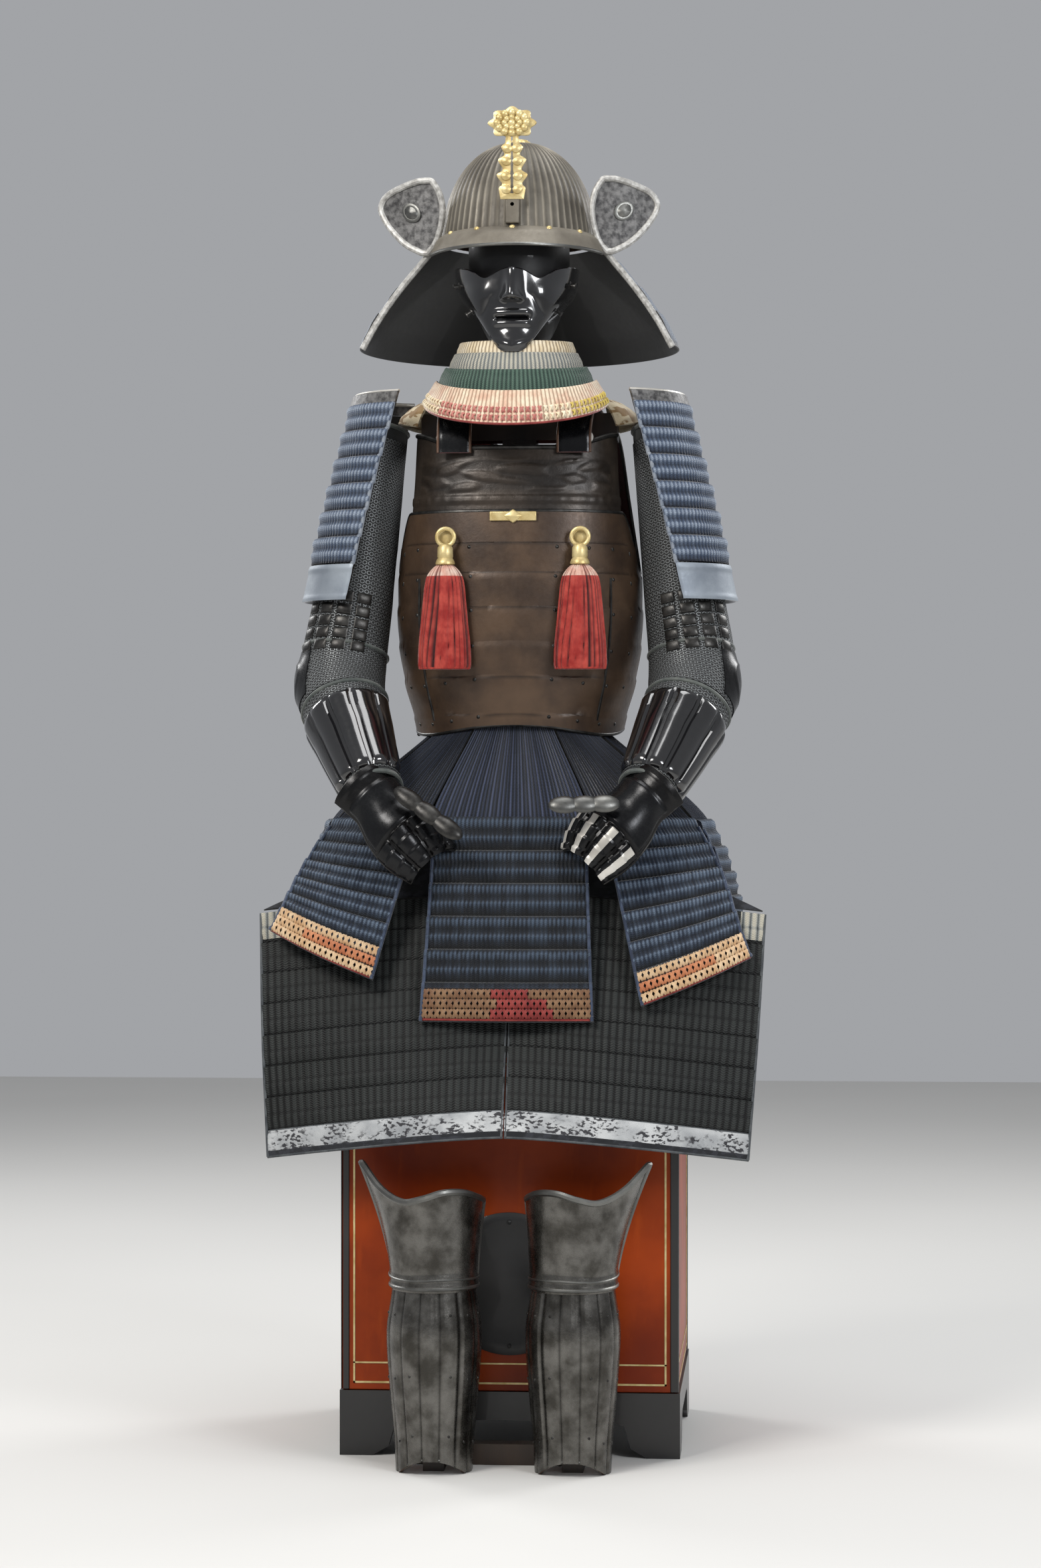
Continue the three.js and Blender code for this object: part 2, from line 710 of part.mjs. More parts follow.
// ---------------------------------------------------------------- sleeves
const sleevePath = [
  { v: 0, x: 181, y: -8, z: 1312, width: 32, depth: 56 },
  { v: 0.2, x: 200, y: -18, z: 1200, width: 42, depth: 57 },
  { v: 0.42, x: 216, y: -34, z: 1083, width: 49, depth: 55 },
  { v: 0.57, x: 226, y: -52, z: 1005, width: 53, depth: 54 },
  { v: 0.67, x: 225, y: -74, z: 958, width: 54, depth: 54 },
  { v: 0.82, x: 202, y: -122, z: 901, width: 45, depth: 45 },
  { v: 1, x: 173, y: -180, z: 839, width: 34, depth: 34 },
];

const sleeveSteps = {
  upper: [0, 0.1, 0.2, 0.31, 0.42, 0.5],
  seam: 0.502,
  elbow: [0.56, 0.62, 0.68],
  forearm: [0.73, 0.82, 0.9, 0.98],
};

// The sleeve's own point: 180 degrees is away from the body, and 270 is the front.
function sleevePoint(u, v) {
  const centre = pointOf(sleevePath, "v", v);
  const ahead = pointOf(sleevePath, "v", Math.min(v + 0.01, 1));
  const behind = pointOf(sleevePath, "v", Math.max(v - 0.01, 0));
  const along = ahead.sub(behind).normalize();
  const across = vec(0, 1, 0).cross(along).normalize();
  const back = along.clone().cross(across);
  const section = (column) => reading(sleevePath, "v", v, column);
  return centre
    .addScaledVector(across, section("width") * cos(u))
    .addScaledVector(back, section("depth") * sin(u));
}

// A wall over the sleeve, between two of its sixteen corners and along some of its sections, so that
// what lies on the cloth has the cloth's own faces, moved out.
function sleevePatch(side, [first, last], vs, thickness, base, closed = false) {
  return wall({
    us: steps(first, last, last - first).map((corner) => corner * 22.5),
    rows: plainRows(vs, thickness, base),
    surface: onSide(side, sleevePoint),
    inside: (point, u, v) => onSide(side, pointOf)(sleevePath, "v", v),
    closed,
  });
}

const overCloth = clothWall + gap;
const lowerSleeve = [sleeveSteps.seam, ...sleeveSteps.elbow, ...sleeveSteps.forearm, 1];
addPair("sleeve_upper", finishes.sleeveCloth, (side) =>
  sleevePatch(side, [0, 15], sleeveSteps.upper, clothWall, 0, true),
);
addPair("sleeve_lower", finishes.sleeveCloth, (side) =>
  sleevePatch(side, [0, 15], lowerSleeve, clothWall, 0, true),
);
addPair("elbow_plate", finishes.blackLacquer, (side) =>
  sleevePatch(side, [5, 10], sleeveSteps.elbow, plate, overCloth),
);
addPair("forearm_guard", finishes.blackLacquer, (side) =>
  sleevePatch(side, [7, 16], sleeveSteps.forearm, plate, overCloth),
);

// ---------------------------------------------------------------- hand guards
const hand = {
  wrist: vec(162, -212, 829),
  along: vec(-0.7, -0.42, -0.58).normalize(),
  facing: vec(-0.1, -0.85, 0.5),
  length: 108,
  curl: 28,
};
const handSections = [
  { v: 0, radius: 35 },
  { v: 0.35, radius: 45 },
  { v: 0.7, radius: 48 },
  { v: 1, radius: 39 },
];

// A plate arched over the back of the hand, turned down at the finger ends.
function handGuard(side) {
  const { wrist, along, facing, length, curl } = hand;
  const across = along.clone().cross(facing).normalize();
  const up = across.clone().cross(along);
  const surface = (u, v) => {
    const radius = reading(handSections, "v", v, "radius");
    return wrist
      .clone()
      .addScaledVector(along, length * (v - 0.12 * v ** 3))
      .addScaledVector(across, radius * sin(u))
      .addScaledVector(up, -radius * (1 - cos(u)) - curl * v ** 3);
  };
  return wall({
    us: steps(-60, 60, 8),
    rows: plainRows(steps(0, 1, 5), plate),
    surface: onSide(side, surface),
    inside: () => vec(side * 120, 0, 700),
  });
}

addPair("hand_guard", finishes.blackLacquer, handGuard);

// ---------------------------------------------------------------- tassets
const tassetHip = 0.3; // where down a tasset its laces end and its lames begin
const tassetBorder = 0.87; // and where its border begins
const tassetLames = 5;
const tassetEdges = {
  front: [
    { v: 0, x: 46, y: -108, z: 923 },
    { v: tassetHip, x: 94, y: -172, z: 804 },
    { v: 1, x: 109, y: -241, z: 551 },
  ],
  frontSideNear: [
    { v: 0, x: 50, y: -107, z: 923 },
    { v: tassetHip, x: 118, y: -168, z: 804 },
    { v: 1, x: 168, y: -236, z: 586 },
  ],
  frontSideFar: [
    { v: 0, x: 90, y: -74, z: 923 },
    { v: tassetHip, x: 226, y: -112, z: 801 },
    { v: 1, x: 304, y: -184, z: 645 },
  ],
  sideNear: [
    { v: 0, x: 95, y: -68, z: 923 },
    { v: tassetHip, x: 230, y: -96, z: 799 },
    { v: 1, x: 290, y: -112, z: 612 },
  ],
  sideFar: [
    { v: 0, x: 101, y: 46, z: 923 },
    { v: tassetHip, x: 230, y: 84, z: 799 },
    { v: 1, x: 284, y: 96, z: 606 },
  ],
  backNear: [
    { v: 0, x: 97, y: 54, z: 923 },
    { v: tassetHip, x: 224, y: 102, z: 799 },
    { v: 1, x: 262, y: 134, z: 600 },
  ],
  backFar: [
    { v: 0, x: 3, y: 95, z: 923 },
    { v: tassetHip, x: 3, y: 182, z: 799 },
    { v: 1, x: 3, y: 222, z: 596 },
  ],
};
const tassetPairs = [
  { name: "tasset_front_side", near: "frontSideNear", far: "frontSideFar", bulge: 12, drop: 16 },
  { name: "tasset_side", near: "sideNear", far: "sideFar", bulge: 14, drop: 0 },
  { name: "tasset_back", near: "backNear", far: "backFar", bulge: 26, drop: 0 },
];

// A skirt panel between two edges: plain laces above, then laced lames and a border.
function tasset(nearEdge, farEdge, bulge) {
  const surface = (u, v) => {
    const near = nearEdge(v);
    const far = farEdge(v);
    const out = far.clone().sub(near).cross(vec(0, 0, 1)).normalize();
    const point = near.lerp(far, u);
    const turn = Math.sign(out.dot(vec(point.x, point.y, 0)));
    const swell = bulge * sin(180 * u) * lerp(0.35, 1, smoothstep(v, 0, tassetHip));
    return point.addScaledVector(out, turn * swell);
  };
  const laces = plainRows([0, tassetHip - 0.004], clothWall);
  const lames = lameRows([...steps(tassetHip, tassetBorder, tassetLames), 1], 0.004);
  return wall({ us: steps(0, 1, 4), rows: [...laces, ...lames], surface });
}

// An edge of a tasset; the left front one hangs by drop below its place, and the right one above.
const edgeOf = (name, side, drop = 0) => (v) => {
  const point = onSide(side, pointOf)(tassetEdges[name], "v", v);
  point.z -= side * drop * smoothstep(v, tassetHip, 1);
  return point;
};
add("tasset_front", tasset(edgeOf("front", -1), edgeOf("front", 1), 9), finishes.blueLacing);
for (const { name, near, far, bulge, drop } of tassetPairs) {
  addPair(name, finishes.blueLacing, (side) =>
    tasset(edgeOf(near, side, drop), edgeOf(far, side, drop), bulge),
  );
}

// ---------------------------------------------------------------- thigh apron
const apronMiddle = [
  { v: 0, x: 1, y: -162, z: 705 },
  { v: 0.27, x: 1, y: -190, z: 625 },
  { v: 0.52, x: 1, y: -217, z: 552 },
  { v: 0.76, x: 1, y: -249, z: 482 },
  { v: 1, x: 1, y: -288, z: 410 },
];
const apronSide = [
  { v: 0, x: 322, y: -146, z: 681 },
  { v: 0.5, x: 312, y: -194, z: 530 },
  { v: 1, x: 300, y: -228, z: 379 },
];
const apronYoke = [
  { v: 0, x: 106, y: -84, z: 872, middleY: -104, middleZ: 874 },
  { v: 0.5, x: 178, y: -104, z: 786, middleY: -132, middleZ: 794 },
  { v: 0.86, x: 258, y: -130, z: 716, middleY: -152, middleZ: 730 },
  { v: 1, x: 318, y: -145, z: 686, middleY: -161, middleZ: 709 },
];
const apron = { swell: 24, droop: 1.5, lames: 7, hemTop: 0.895 };

// One half of the apron: 0 is its edge at the middle, and 1 its outer edge.
function apronPoint(u, v) {
  const [middle, side] = [pointOf(apronMiddle, "v", v), pointOf(apronSide, "v", v)];
  const droop = Math.max(u, 0) ** apron.droop;
  const z = lerp(middle.z, side.z, droop);
  const point = vec(lerp(middle.x, side.x, u), lerp(middle.y, side.y, u), z);
  point.y -= apron.swell * sin(180 * u) * smoothstep(v, -0.1, 0.6);
  return point;
}

const apronHalf = (side, rows) =>
  wall({
    us: steps(0, 1, 6),
    rows,
    surface: onSide(side, apronPoint),
    inside: () => vec(0, 400, 500),
  });
addPair("apron", finishes.darkLacing, (side) =>
  apronHalf(side, lameRows(steps(0, apron.hemTop - 0.003, apron.lames), 0.004)),
);
addPair("apron_hem", finishes.silverBrocade, (side) =>
  apronHalf(side, plainRows(steps(apron.hemTop, 1, 2), 4)),
);

// The plain cloth that carries both halves from the waist.
function apronCloth() {
  const surface = (u, v) => {
    const row = (column) => reading(apronYoke, "v", v, column);
    const bow = Math.abs(u) ** apron.droop;
    const y = lerp(row("middleY"), row("y"), Math.abs(u));
    return vec(row("x") * u, y, lerp(row("middleZ"), row("z"), bow));
  };
  return wall({
    us: steps(-1, 1, 10),
    rows: plainRows(steps(0, 1, 4), clothWall),
    surface,
    inside: () => vec(0, 400, 700),
  });
}

add("apron_cloth", apronCloth(), finishes.sleeveCloth);

// ---------------------------------------------------------------- shin and knee guards
const shin = { sweep: 118, top: 232, instep: 18, depthShare: 1.12 };
const shinRings = [
  { z: 0, halfWidth: 43.5 },
  { z: 40, halfWidth: 45.5 },
  { z: 90, halfWidth: 50 },
  { z: 150, halfWidth: 54.5 },
  { z: 180, halfWidth: 54.5 },
  { z: 210, halfWidth: 50 },
  { z: 232, halfWidth: 47 },
];
const kneeRim = [
  { u: -104, x: -58, y: 26, z: 331 },
  { u: -70, x: -55, y: -10, z: 338 },
  { u: -38, x: -39, y: -42, z: 347 },
  { u: -12, x: -16, y: -60, z: 348 },
  { u: 12, x: 8, y: -63, z: 341 },
  { u: 38, x: 34, y: -52, z: 336 },
  { u: 70, x: 64, y: -22, z: 349 },
  { u: 104, x: 93, y: 22, z: 377 },
];

function shinGuard(side) {
  const { sweep, top, instep, depthShare } = shin;
  const surface = (u, v) => {
    const foot = gap + instep * Math.max(0, cos(u * 1.5));
    const z = lerp(foot, top, v);
    const half = reading(shinRings, "z", z, "halfWidth");
    const [x, y] = oval(u, half, half * depthShare);
    return vec(stand.shinX + x, stand.shinY + y, z);
  };
  return wall({
    us: steps(-sweep, sweep, 14),
    rows: plainRows(steps(0, 1, 6), plate),
    surface: onSide(side, surface),
    inside: (point) => vec(side * stand.shinX, stand.shinY, point.z),
  });
}

function kneeGuard(side) {
  const [low, halfWidth] = [225, 51];
  const surface = (u, v) => {
    const [x, y] = oval(u, halfWidth, halfWidth * shin.depthShare);
    const rim = pointOf(kneeRim, "u", u);
    const flare = Math.max(v, 0) ** 1.5;
    const point = vec(lerp(x, rim.x, flare), lerp(y, rim.y, flare), lerp(low, rim.z, v));
    return point.add(vec(stand.shinX, stand.shinY, 0));
  };
  return wall({
    us: steps(-104, 104, 14),
    rows: plainRows(steps(0, 1, 4), plate),
    surface: onSide(side, surface),
    inside: (point) => vec(side * stand.shinX, stand.shinY, point.z),
  });
}

addPair("shin_guard", finishes.shinIron, shinGuard);
addPair("knee_guard", finishes.shinIron, kneeGuard);

// The origin goes to the floor, under the middle of the whole suit.
const reach = new THREE.Box3().setFromObject(armour);
const middle = reach.getCenter(vec(0, 0, 0));
armour.position.set(0, -middle.y, -reach.min.z);
armour.updateMatrixWorld(true);

export default armour;
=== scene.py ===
# A samurai armour, dressed on its stand over its armour chest.
# Sizes are in millimetres about the stand's post, as in the CAD, and turn to metres in placed().
import math

import bpy
import numpy as np
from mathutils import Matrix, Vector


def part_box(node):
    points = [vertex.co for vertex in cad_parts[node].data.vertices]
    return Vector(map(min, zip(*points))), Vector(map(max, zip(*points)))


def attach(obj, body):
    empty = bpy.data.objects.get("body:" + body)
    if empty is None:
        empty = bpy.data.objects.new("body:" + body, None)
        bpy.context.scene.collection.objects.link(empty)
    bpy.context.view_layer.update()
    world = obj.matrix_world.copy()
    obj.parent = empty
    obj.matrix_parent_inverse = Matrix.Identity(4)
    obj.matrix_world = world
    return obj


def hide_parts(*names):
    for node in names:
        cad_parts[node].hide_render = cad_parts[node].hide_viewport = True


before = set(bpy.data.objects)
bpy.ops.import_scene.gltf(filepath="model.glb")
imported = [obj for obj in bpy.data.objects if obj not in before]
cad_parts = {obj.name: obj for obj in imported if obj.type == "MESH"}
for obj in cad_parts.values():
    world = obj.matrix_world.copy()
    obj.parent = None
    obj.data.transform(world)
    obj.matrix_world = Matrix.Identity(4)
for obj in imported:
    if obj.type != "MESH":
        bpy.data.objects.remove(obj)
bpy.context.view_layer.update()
postLow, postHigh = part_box("stand_post")
postY = (postLow.y + postHigh.y) / 2
print("frame loaded")

gap = 0.4
plate = 2.0
sides = {"left": 1, "right": -1}


def sin(degrees):
    return np.sin(np.radians(degrees))


def cos(degrees):
    return np.cos(np.radians(degrees))


def lerp(a, b, t):
    return a + (b - a) * t


def smooth(value, low, high):
    t = np.clip((value - low) / (high - low), 0, 1)
    return t * t * (3 - 2 * t)


def bell(value, middle, width):
    return np.exp(-(((value - middle) / width) ** 2))


def steps(first, last, count):
    return np.linspace(first, last, count + 1)


def vec(x, y, z):
    return np.stack(np.broadcast_arrays(x, y, z), axis=-1).astype(float)


def unit(a):
    return a / (np.linalg.norm(a, axis=-1, keepdims=True) + 1e-12)


# Rows are a key and its values; the result follows a smooth curve through them.
def readCurve(rows, at):
    table = np.array(sorted(rows), float)
    keys, values = table[:, 0], table[:, 1:]
    at = np.clip(np.asarray(at, float), keys[0], keys[-1])
    high = np.clip(np.searchsorted(keys, at), 1, len(keys) - 1)
    low = high - 1
    before, after = np.maximum(low - 1, 0), np.minimum(high + 1, len(keys) - 1)
    span = (keys[high] - keys[low])[..., None]
    t = (at - keys[low])[..., None] / span
    slopeLow = (values[high] - values[before]) / (keys[high] - keys[before])[..., None]
    slopeHigh = (values[after] - values[low]) / (keys[after] - keys[low])[..., None]
    ends = (2 * t**3 - 3 * t**2 + 1) * values[low] + (3 * t**2 - 2 * t**3) * values[high]
    return ends + ((t**3 - 2 * t**2 + t) * slopeLow + (t**3 - t**2) * slopeHigh) * span


# More points, on a smooth line through a few.
def smoothed(points, count):
    return readCurve([(i, *point) for i, point in enumerate(points)], steps(0, len(points) - 1, count))


# A point x, y of an oval ring: 0 degrees is the front, and a square of 1 is an ellipse.
def oval(angle, halfWidth, depth, square=1):
    across, ahead = sin(angle), cos(angle)
    x = halfWidth * np.sign(across) * np.abs(across) ** (1 / square)
    return x, -depth * np.sign(ahead) * np.abs(ahead) ** (1 / square)


def mirrored(surface, side):
    return lambda *at: surface(*at) * [side, 1, 1]


# A path over a surface, through one or more stretches of u and v.
def pathOn(surface, *stretches):
    return np.concatenate([surface(*np.broadcast_arrays(np.asarray(u, float), np.asarray(v, float)))
                           for u, v in stretches])


# What lies inside a curved wall: an upright line at x, y, met a little lower down.
def axisAt(x, y, lower=0):
    return lambda points, v: points * [0, 0, 1] + [x, y, -lower]


axisInside = axisAt(0, 0)


def spun(points, degrees):
    x, y, z = np.asarray(points, float).T
    return vec(x * cos(degrees) - y * sin(degrees), x * sin(degrees) + y * cos(degrees), z)


def placed(points):
    return np.asarray(points, float) / 1000 + [0, postY, 0]


# One visible piece. skins are its materials, and skinOf gives each face's place in that list.
def makePiece(name, points, faces, skins, skinOf=None, cut=None, proud=None, crease=35,
              slot=None, nodes=()):
    mesh = bpy.data.meshes.new(name)
    mesh.from_pydata(placed(points).tolist(), [], [list(map(int, face)) for face in faces])
    for key in skins:
        mesh.materials.append(skin[key])
    if skinOf is not None:
        mesh.polygons.foreach_set("material_index", np.asarray(skinOf, np.int32))
    corners = np.zeros(len(mesh.loops), np.int32)
    mesh.loops.foreach_get("vertex_index", corners)
    if cut is not None:
        layer = mesh.uv_layers.new(name="cut")
        layer.data.foreach_set("uv", np.asarray(cut, float)[corners].ravel())
    # each point's painted light: 1 is fully lit, and lower values paint shade into hollows; points get 1
    # where the piece gives none
    shade = np.ones(len(mesh.vertices)) if proud is None else np.asarray(proud, float)
    mesh.attributes.new("proud", "FLOAT", "POINT").data.foreach_set("value", shade)
    mesh.polygons.foreach_set("use_smooth", np.ones(len(mesh.polygons), bool))
    mesh.set_sharp_from_angle(angle=math.radians(crease))
    mesh.validate()
    mesh.update()
    piece = bpy.data.objects.new(name, mesh)
    bpy.context.scene.collection.objects.link(piece)
    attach(piece, "root")
    if nodes:
        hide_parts(*nodes)
    return piece


def bevelled(piece, width, segments=2):
    modifier = piece.modifiers.new("edges", "BEVEL")
    modifier.width, modifier.segments, modifier.limit_method = width / 1000, segments, "ANGLE"
    modifier.harden_normals = False


# A piece of one mesh in one finish, with its edges rounded where edge gives a width.
def fitting(name, mesh, color, slot, nodes=(), edge=0, edgeSegments=2, **rest):
    piece = makePiece(name, *mesh, [color], slot=slot, nodes=nodes, **rest)
    if edge:
        bevelled(piece, edge, edgeSegments)


def gridFaces(rows, cols, closed=False, start=0):
    spans = np.arange(cols if closed else cols - 1)
    a = (np.arange(rows - 1)[:, None] * cols + spans[None]).ravel() + start
    b = (np.arange(rows - 1)[:, None] * cols + (spans[None] + 1) % cols).ravel() + start
    return np.stack([a, b, b + cols, a + cols], axis=1)


# The points of a surface and how it faces, away from inside.
def facing(surface, u, v, inside):
    spanU, spanV = max(np.ptp(u), 1e-6) * 1e-3, max(np.ptp(v), 1e-6) * 1e-3
    points = surface(u, v)
    across = surface(u + spanU, v) - surface(u - spanU, v)
    along = surface(u, v + spanV) - surface(u, v - spanV)
    normal = np.cross(across, along)
    normal /= np.linalg.norm(normal, axis=-1, keepdims=True) + 1e-9
    away = points - (inside(points, v) if callable(inside) else np.asarray(inside, float))
    normal *= np.where((normal * away).sum(-1, keepdims=True) < 0, -1, 1)
    return points, normal, across, along


# A wall over a grid: its inner face stands off by base, and its outer face by base + thick + relief.
# relief(u, v) returns the height alone, or the height and a painted light from 0, deep and in painted shade,
# to 1, proud and fully lit.
# zones(u, v) picks the skin of each outer face; the last skin is the inner face's.
def shell(name, surface, us, vs, skins, thick=plate, base=0.0, relief=None, inside=axisInside,
          closed=False, zones=None, **rest):
    u, v = np.meshgrid(np.asarray(us, float), np.asarray(vs, float))
    points, normal, _, _ = facing(surface, u, v, inside)
    made = np.zeros(u.shape) if relief is None else relief(u, v)
    height, shade = made if isinstance(made, tuple) else (made, np.ones(u.shape))
    outer = points + normal * (base + thick + height)[..., None]
    innerFace = points + normal * base
    rows, cols = u.shape
    count = rows * cols
    width = np.linalg.norm(np.diff(points, axis=1), axis=-1).mean(0)
    length = np.linalg.norm(np.diff(points, axis=0), axis=-1).mean(1)
    cutU = np.broadcast_to(np.concatenate([[0], np.cumsum(width)]), u.shape)
    cutV = np.broadcast_to(np.concatenate([[0], np.cumsum(length)])[:, None], u.shape)
    cut = np.stack([cutU, cutV], -1).reshape(-1, 2) / 1000
    out, back = gridFaces(rows, cols, closed), gridFaces(rows, cols, closed, count)[:, ::-1]
    top = np.arange(cols if closed else cols - 1)
    after = (top + 1) % cols
    rims = [np.stack([after, top, top + count, after + count], 1),
            np.stack([top, after, after + count, top + count], 1) + (rows - 1) * cols]
    if not closed:
        near = np.arange(rows - 1) * cols
        far = near + cols - 1
        rims.append(np.stack([near, near + cols, near + cols + count, near + count], 1))
        rims.append(np.stack([far + cols, far, far + count, far + cols + count], 1))
    rims = np.concatenate(rims)
    faces = np.concatenate([out, back, rims])
    sample = out[len(out) // 2]
    flat = outer.reshape(-1, 3)
    turn = np.cross(flat[sample[1]] - flat[sample[0]], flat[sample[2]] - flat[sample[0]])
    if (turn * normal.reshape(-1, 3)[sample[0]]).sum() < 0:
        faces = faces[:, ::-1]
    face = np.zeros(len(out)) if zones is None else zones(u[:-1, :-1], v[:-1, :-1]).ravel()
    skinOf = np.concatenate([face, np.full(len(back), len(skins) - 1),
                             np.full(len(rims), min(1, len(skins) - 1))])
    return makePiece(name, np.concatenate([flat, innerFace.reshape(-1, 3)]), faces, skins, skinOf,
                     np.concatenate([cut, cut]), np.tile(shade.ravel(), 2), **rest)


def ringFaces(rows, segments):
    faces = [tuple(face) for face in gridFaces(rows, segments, True)]
    ends = [tuple(range(segments))[::-1], tuple(range((rows - 1) * segments, rows * segments))]
    return faces, ends


# A ring of points round a path, at one radius.
def tubeMesh(path, radius, segments=8, closed=False):
    path = np.asarray(path, float)
    ahead = np.roll(path, -1, 0) - np.roll(path, 1, 0)
    if not closed:
        ahead[0], ahead[-1] = path[1] - path[0], path[-1] - path[-2]
    ahead = unit(ahead)
    up = np.cross(ahead[0], [0.31, 0.17, 0.93])
    ups = []
    for direction in ahead:
        up = unit(up - direction * up.dot(direction))
        ups.append(up)
    ups = np.array(ups)
    turn = steps(0, 360, segments)[:-1][None, :, None]
    ring = np.cross(ahead, ups)[:, None] * cos(turn) + ups[:, None] * sin(turn)
    faces, ends = ringFaces(len(path), segments)
    if closed:
        last = (len(path) - 1) * segments
        ends = [(last + i, last + (i + 1) % segments, (i + 1) % segments, i) for i in range(segments)]
    return (path[:, None] + ring * float(radius)).reshape(-1, 3), faces + ends


def turnedMesh(profile, segments, centre=(0, 0, 0), squash=1.0, groove=None):
    profile = np.asarray(profile, float)
    turn = steps(0, 360, segments)[:-1]
    radius = np.broadcast_to(profile[:, :1], (len(profile), segments))
    if groove is not None:
        radius = radius * groove(turn[None], np.arange(len(profile))[:, None])
    points = vec(radius * cos(turn), radius * sin(turn) * squash, profile[:, 1:2])
    faces, ends = ringFaces(len(profile), segments)
    return points.reshape(-1, 3) + centre, faces + ends


# A turned mesh laid over, so that its top faces the front.
def facingFront(mesh, x, y, z, widen=1.0):
    points, faces = mesh
    return vec(points[:, 0] * widen + x, y - points[:, 2], points[:, 1] + z), faces


def joinedMesh(*parts):
    points, faces, count = [], [], 0
    for partPoints, partFaces in parts:
        points.append(np.asarray(partPoints, float))
        faces += [tuple(int(i) + count for i in face) for face in partFaces]
        count += len(partPoints)
    return np.concatenate(points), faces


# Copies of one small mesh at many spots, each a place and its own three directions.
def manyMesh(base, places, across, along, out):
    shape, baseFaces = np.asarray(base[0], float), base[1]
    places, across, along, out = (np.asarray(a, float).reshape(-1, 3)
                                  for a in (places, across, along, out))
    points = (places[:, None] + shape[None, :, :1] * across[:, None]
              + shape[None, :, 1:2] * along[:, None] + shape[None, :, 2:] * out[:, None])
    count = len(shape)
    faces = [tuple(int(i) + place * count for i in face)
             for place in range(len(places)) for face in baseFaces]
    return points.reshape(-1, 3), faces


# Spots on a surface, lifted off it.
def spotsOn(surface, u, v, lift, inside=axisInside):
    u, v = np.broadcast_arrays(np.asarray(u, float), np.asarray(v, float))
    probeU = np.append(u.ravel(), [u.max() + 1e-2, u.min() - 1e-2])
    probeV = np.append(v.ravel(), [v.max() + 1e-3, v.min() - 1e-3])
    points, normal, across, along = (a[:u.size] for a in facing(surface, probeU, probeV, inside))
    return points + normal * lift, unit(across), unit(along), normal


def joinedSpots(spots):
    return [np.concatenate(group) for group in zip(*spots)]


def boxMesh(low, high):
    (x0, y0, z0), (x1, y1, z1) = low, high
    points = [(x, y, z) for z in (z0, z1) for y in (y0, y1) for x in (x0, x1)]
    faces = [(0, 2, 3, 1), (4, 5, 7, 6), (0, 1, 5, 4), (2, 6, 7, 3), (0, 4, 6, 2), (1, 3, 7, 5)]
    return np.array(points, float), faces


def domeMesh(radius, height, segments=8, rings=3):
    angles = steps(0, 90, rings)
    profile = [(radius * cos(a), height * sin(a)) for a in angles[:-1]] + [(0.02 * radius, height)]
    return turnedMesh(profile, segments)


# A round rim or cord along a path, whose points are thinned to stand at least spacing apart.
def rimOf(name, path, radius, color, slot, closed=False, spacing=None, segments=8):
    spacing = radius * 0.7 if spacing is None else spacing
    keep = [0]
    for i in range(1, len(path)):
        if np.linalg.norm(path[i] - path[keep[-1]]) > spacing:
            keep.append(i)
    fitting(name, tubeMesh(path[keep], radius, segments, closed), color, slot)


def paint(red, green, blue):
    channels = [c / 255 for c in (red, green, blue)]
    return tuple(c / 12.92 if c <= 0.04045 else ((c + 0.055) / 1.055) ** 2.4 for c in channels) + (1,)


# A number that nodes work out; sums on it add Math nodes.
class Number:
    def __init__(self, finish, socket):
        self.finish, self.socket = finish, socket

    def math(self, operation, *values):
        return self.finish.number("Math", {"operation": operation}, dict(enumerate(values)))

    def __add__(self, other):
        return self.math("ADD", self, other)

    def __radd__(self, other):
        return self.math("ADD", other, self)

    def __sub__(self, other):
        return self.math("SUBTRACT", self, other)

    def __rsub__(self, other):
        return self.math("SUBTRACT", other, self)

    def __mul__(self, other):
        return self.math("MULTIPLY", self, other)

    def __rmul__(self, other):
        return self.math("MULTIPLY", other, self)

    def __pow__(self, other):
        return self.math("POWER", self, other)

    def above(self, level):
        return self.math("GREATER_THAN", self, level)

    def wave(self):
        return self.math("SINE", self)

    def size(self):
        return self.math("ABSOLUTE", self)

    def whole(self):
        return self.math("FLOOR", self)

    def rest(self):
        return self.math("FRACT", self)

    def between(self, low, high):
        return self.finish.number("MapRange", {"interpolation_type": "SMOOTHSTEP"},
                                  {"Value": self, "From Min": low, "From Max": high})


